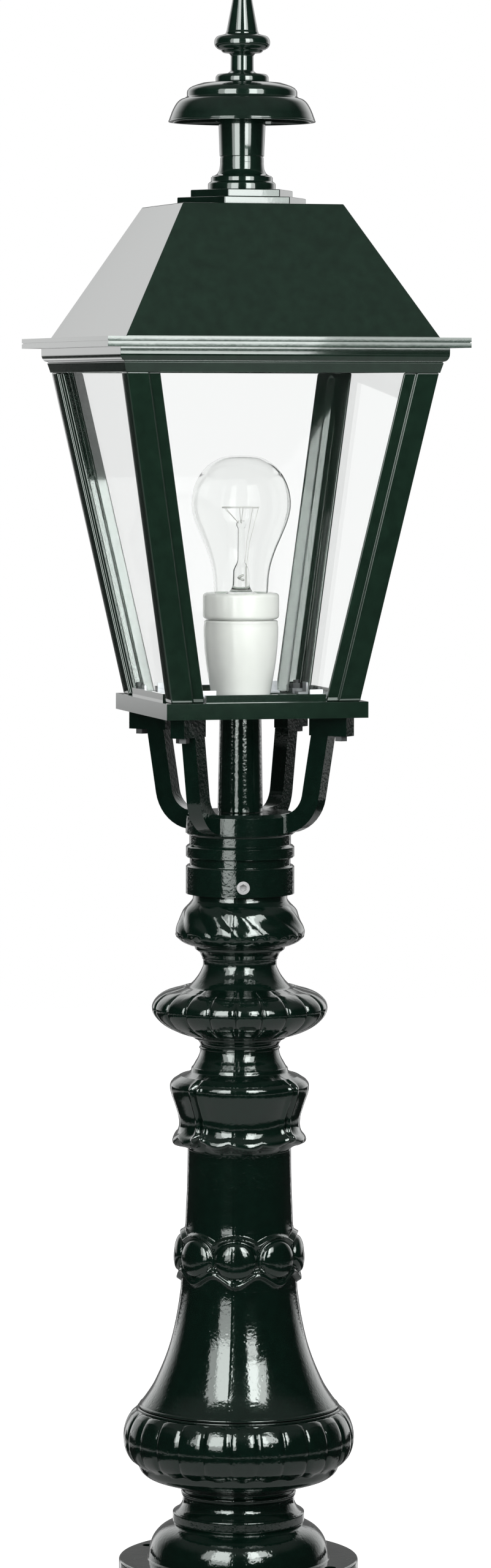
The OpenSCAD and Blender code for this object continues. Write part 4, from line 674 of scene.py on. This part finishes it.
def clear_glass(name, colour, ior):
    """Clear glass with faint waves and haze, which lets the light of the lamps through."""
    smear_scale, most_haze, ripple_scale, ripple_height = 18, 0.035, 9, 0.00004
    material, tree, shader = finish_of(name)
    shader.inputs["Base Color"].default_value = colour
    shader.inputs["Transmission Weight"].default_value = 1.0
    shader.inputs["IOR"].default_value = ior
    spot = step(tree, "ShaderNodeTexCoord")["Object"]
    smear = step(tree, "ShaderNodeTexNoise", Vector=spot, Scale=smear_scale, Detail=5)["Fac"]
    haze = step(tree, "ShaderNodeMapRange", Value=smear, From_Min=0.5, From_Max=0.8,
                To_Max=most_haze)["Result"]
    tree.links.new(haze, shader.inputs["Roughness"])
    ripple = step(tree, "ShaderNodeTexNoise", Vector=spot, Scale=ripple_scale, Detail=1)["Fac"]
    ripple = maths(tree, "MULTIPLY", ripple, ripple_height)
    bump = step(tree, "ShaderNodeBump", Strength=1.0, Distance=1.0, Height=ripple)["Normal"]
    tree.links.new(bump, shader.inputs["Normal"])
    through = step(tree, "ShaderNodeBsdfTransparent", Color=(0.93, 0.95, 0.94, 1))[0]
    shadow_ray = step(tree, "ShaderNodeLightPath")["Is Shadow Ray"]
    glass = step(tree, "ShaderNodeMixShader", _0=shadow_ray, _1=shader.outputs[0], _2=through)[0]
    tree.links.new(glass, tree.nodes["Material Output"].inputs["Surface"])
    return material


# Both glasses bend light less than real glass, because the photograph's edges are faint
pane_glass = clear_glass("float_glass", (0.966, 0.972, 0.969, 1), ior=1.15)
finish_nodes(pane_glass, "glass_front", "glass_right", "glass_back", "glass_left")

# Top rails: four moulded bars mitred into a frame over the posts. Screws through gussets in its
# corners hold it together.
for side in ("front", "right", "back", "left"):
    rail = softened("top_rail_" + side, ["rail_" + side], 0.4, sheet_green, "head")
finish_nodes(sheet_green, "post_gussets")
finish_nodes(zinc_plate, "rail_screws")

# Hinges: two pairs of enamelled leaves at the back. One leaf of each pair is screwed to the
# rail, the other is riveted under the eave, and a zinc-plated pin joins them.
frame_leaves = softened("hinge_leaves_on_rail", ["hinge_frame_leaves"], 0.3, sheet_green, "head")
roof_leaves = softened("hinge_leaves_on_eave", ["hinge_roof_leaves"], 0.3, sheet_green, "roof")
finish_nodes(zinc_plate, "hinge_frame_screws", "hinge_pins", "hinge_rivets")

# Roof: a square eave with a folded edge and a four-sided sloping hood with a flat top, both
# folded from sheet and enamelled. The whole roof tips back on its hinges to reach the bulb.
eave = softened("eave_sheet", ["eave"], 0.5, sheet_green, "roof")
hood = softened("roof_hood", ["roof_shell"], 0.6, sheet_green, "roof")

# Chimney: two hexagonal plates and a turned tube with a flared foot, which vents the hot air
# under the canopy. A rod through canopy and chimney clamps them to the roof.
turned_green = painted("green_enamel_on_turned_parts", (0.0045, 0.0135, 0.0090, 1), wave=0.00003,
                       peel=0.000004, pits=0.0, gloss=0.12)
plates = softened("chimney_plates", ["chimney_plinth"], 0.6, turned_green, "roof")
flue_line = rounded([(11, 843.1), (20.3, 843.1, 0.4), (20.3, 847.2, 0.9), (18.6, 848.2, 0.5),
                     (18.5, 851, 0.4)])
flue_line += flowing([(17.8, 851.4), (15.2, 852.6), (13.6, 855.2), (13.1, 858.6), (13.1, 860)], 5)
flue_line += rounded([(13, 862.4, 0.2), (12.7, 862.6, 0.1), (12.7, 863.2, 0.1), (13.3, 863.4, 0.2),
                      (14.25, 886.5, 0.4), (11, 886.5)])
flue = turned("chimney_tube", flue_line, 96, turned_green, "roof")
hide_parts("chimney")
# Three spokes inside the tube carry the boss that the rod passes through
web_low, web_high, spoke_half = 875.7, 878.7, 1.25
spoke_inner_r, spoke_outer_r, boss_bore_r, boss_outer_r = 3.4, 11.2, 3.2, 5.4
web_points, web_faces = [], []
for spoke in range(3):
    a = math.radians(90 + spoke * 120)
    outward = np.array((math.cos(a), math.sin(a)))
    side = np.array((-math.sin(a), math.cos(a)))
    first = len(web_points)
    for z in (web_low, web_high):
        for r, s in ((spoke_inner_r, -spoke_half), (spoke_outer_r, -spoke_half),
                     (spoke_outer_r, spoke_half), (spoke_inner_r, spoke_half)):
            web_points.append((*(outward * r + side * s) / 1000, z / 1000))
    web_faces += [[first + k for k in face] for face in (
        (3, 2, 1, 0), (4, 5, 6, 7), (0, 1, 5, 4), (1, 2, 6, 5), (2, 3, 7, 6), (3, 0, 4, 7))]
spokes = piece_of("chimney_spokes", web_points, web_faces, turned_green, "roof")
boss = turned("chimney_web_boss", [(boss_bore_r, web_low), (boss_outer_r, web_low),
                                   (boss_outer_r, web_high), (boss_bore_r, web_high)],
              48, turned_green, "roof")

# Canopy: a spun dome with a step and a rolled rim, which keeps rain out of the chimney.
# A spacer holds it over the tube, and the rod through it ends in a strap under the roof.
canopy_line = rounded([(3.2, 907), (24, 907, 0.5)])
canopy_line += flowing([(24.8, 906.7), (27.4, 905.9), (30.2, 904.8), (31.8, 903.8)], 5)
canopy_line += rounded([(32.5, 903.1, 0.4), (33.1, 901.8, 0.6), (33.1, 899, 0.4),
                        (33.6, 898.4, 0.3)])
canopy_line += flowing([(34.4, 898.1), (36.8, 897.2), (38.9, 895.4), (40.6, 892.8), (42, 889.9),
                        (43, 887.2), (43.7, 885.3)], 6)
canopy_line += rounded([(44.1, 884.6, 0.5), (44.15, 883.7, 0.3), (42.3, 883.7, 0.3),
                        (41.9, 886.6, 0.5)])
canopy_line += flowing([(40.4, 889), (38.4, 891.3), (35.6, 893.2), (32.6, 894.4)], 5)
canopy_line += rounded([(31, 895.4, 0.6), (31, 899.6, 1.2), (29, 901.4, 1.2), (24, 902.6, 2),
                        (3.2, 902.6)])
canopy = turned("canopy_dome", canopy_line, 192, turned_green, "roof")
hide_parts("canopy")
finish_nodes(zinc_plate, "canopy_spacer", "finial_rod", "clamp_strap", "clamp_nut")

# Finial: a disc, a stalk, a knob and a spire, turned in one piece and enamelled. It is screwed
# on the rod, and so clamps the canopy.
finial_line = rounded([(3.06, 907.05), (15.2, 907.05, 0.4), (15.9, 908, 0.6), (15.9, 910.9, 1),
                       (14.5, 912.3, 0.7), (8.6, 912.9, 1), (6.9, 914.2, 0.8), (6.8, 923.4, 0.6),
                       (8, 924.7, 0.6), (11.6, 925.2, 0.6), (12.4, 926.2, 0.4)])
finial_line += flowing([(12.6, 926.6), (14.6, 927.4), (16.2, 929), (16.7, 931.1), (16.3, 933.2),
                        (14.8, 934.9), (11.6, 935.8)], 6)
finial_line += rounded([(10, 936, 0.3), (9.8, 937.2, 0.4), (9.4, 938, 0.5), (5.9, 956.4, 3),
                        (2, 985.5, 1), (1.5, 988.6, 0.7), (0.9, 989.6, 0.4)])
finial_line += [(0, 989.9), (0, 926), (3.06, 926)]
finial = turned("finial_spire", finely(finial_line, 3), 128, turned_green, "roof", sharp=50)
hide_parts("finial")

# Lampholder: a tapered porcelain body and a screwed porcelain ring, glazed all over, round a
# brass screw shell and its centre contact. It stands on the nipple's nut.
porcelain = worked("glazed_porcelain", (0.66, 0.67, 0.64, 1), streaks=0.000004, gloss=0.2,
                   metallic=0.0, clouding=0.12)
holder_line = rounded([(5.1, 538.3), (16.6, 538.3, 0.6), (17.8, 539.4, 0.6)])
holder_line += flowing([(18, 541), (19.4, 549), (20.7, 557), (21.7, 565), (22.3, 573),
                        (22.5, 580.5)], 4)
holder_line += rounded([(22.55, 584.2, 1), (21.4, 585.05, 0.6), (19.4, 585.1), (19.4, 597.5),
                        (14.3, 597.5), (14.3, 573.4), (12, 573.4), (12, 569.4), (12, 558.4),
                        (11.8, 544.4), (5.1, 544.4)])
holder = turned("lampholder_body", finely(holder_line, 4), 144, porcelain, "head")
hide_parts("holder_body")
ring_line = rounded([(19.56, 585.7), (21.6, 585.7, 0.5), (23, 586.9, 1.1), (23, 600.2, 1.2),
                     (21.4, 601.55, 1), (17.6, 601.55, 0.5), (16.95, 600.9, 0.4),
                     (16.95, 597.7), (19.56, 597.7)])
ring = turned("lampholder_ring", ring_line, 144, porcelain, "head")
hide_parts("holder_ring")
finish_nodes(brass, "holder_shell", "holder_contact")

# Bulb: a blown clear envelope on a screw cap, with a glass stem, support wires and a coiled
# filament inside. It turns out of its holder on the cap's thread.
bulb_glass = clear_glass("blown_glass", (0.96, 0.965, 0.96, 1), ior=1.2)
crown_z, shoulder_z, wall, side_drop = 672, 650, 0.8, 0.3
envelope = flowing([(13.3, 599.7), (14.6, 600.3), (16.1, 601.6), (16.5, 606), (16.9, 612),
                    (18.2, 619), (21, 627.5), (24.8, 636.5), (28.1, 645), (29.8, 653.2),
                    (29.2, 662), (26.1, 670.6), (20.6, 677.8), (13.4, 682.4), (6.4, 684),
                    (0, 684.35)], 6)
inner_wall = [(max(r - wall * min(1, r / 3), 0),
               z - (wall if z > crown_z else side_drop * (z > shoulder_z))) for r, z in envelope]
bulb = turned("bulb_envelope", envelope + inner_wall[::-1], 128, bulb_glass, "bulb", sharp=60)
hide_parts("bulb_glass")
stem_glass_line = rounded([(0, 599.8), (12, 599.8, 0.3), (12, 600.4, 0.3), (6.2, 602.6, 2),
                           (5.1, 606.5, 1.5), (4.8, 615.4, 1), (3.6, 617.6, 1), (2.2, 620.4, 1.2),
                           (2, 640.4, 0.8), (3, 642, 0.6), (2.9, 643.6, 0.6), (1.6, 645.2, 0.6)])
stem_glass_line += [(0, 645.6)]
stem_glass = turned("bulb_glass_stem", finely(stem_glass_line, 3), 64, bulb_glass, "bulb", sharp=50)
wire_metal = worked("nickel_wire", (0.62, 0.61, 0.59, 1), streaks=0.00001, gloss=0.5, metallic=0.3)


def wire(name, paths, width, material, body):
    """Round wires of a width in mm through points in mm, as one mesh piece."""
    curve = bpy.data.curves.new(name, "CURVE")
    curve.dimensions = "3D"
    curve.bevel_depth = width / 2000
    curve.bevel_resolution = 2
    curve.use_fill_caps = True
    for path in paths:
        spline = curve.splines.new("POLY")
        spline.points.add(len(path) - 1)
        for point, place in zip(spline.points, path):
            point.co = (*(c / 1000 for c in place), 1)
    curve.materials.append(material)
    drawn = bpy.data.objects.new(name + "_curve", curve)
    scene.collection.objects.link(drawn)
    bpy.context.view_layer.update()
    held = drawn.evaluated_get(bpy.context.evaluated_depsgraph_get())
    mesh = bpy.data.meshes.new_from_object(held)
    mesh.name = name
    piece = bpy.data.objects.new(name, mesh)
    scene.collection.objects.link(piece)
    bpy.data.objects.remove(drawn)
    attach(piece, body)
    return piece


def around(r, degrees, z):
    """A point in mm at a radius, a bearing and a height."""
    return (r * math.cos(math.radians(degrees)), r * math.sin(math.radians(degrees)), z)


def wires_of(profile, bearings):
    """The same bent wire, given by its (radius, height) points in mm, at each bearing."""
    return [[around(r, degrees, z) for r, z in profile] for degrees in bearings]


leads = wires_of([(3.4, 603), (3.2, 616), (5.4, 632), (11, 652.6)], (35, 325))
props = wires_of([(1.5, 643.4), (5, 646.6), (10.2, 651.4), (11.4, 653.4)], (80, 140, 200, 260))
wires = wire("bulb_wires", leads + props, 0.36, wire_metal, "bulb")
# The filament runs from one lead round to the other, over the props
coil_r, coil_z, winding_r, winding_step = 11.2, 653, 0.42, 1.3
coil_start, coil_turn, coil_parts = 35, 290, 380
coil = [around(coil_r + winding_r * math.cos(k * winding_step),
               coil_start + k * coil_turn / coil_parts,
               coil_z + winding_r * math.sin(k * winding_step)) for k in range(coil_parts + 1)]
filament = wire("bulb_filament", [coil], 0.2, wire_metal, "bulb")
seal_path = [around(1.2, t * 40, 609 + t * 0.4) for t in range(9)]
exhaust = wire("bulb_exhaust_seal", [seal_path], 1.4, wire_metal, "bulb")
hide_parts("bulb_stem")
cap_metal = worked("nickel_cap", (0.66, 0.64, 0.6, 1), streaks=0.00001, gloss=0.24, metallic=1.0)
finish_nodes(cap_metal, "bulb_cap")
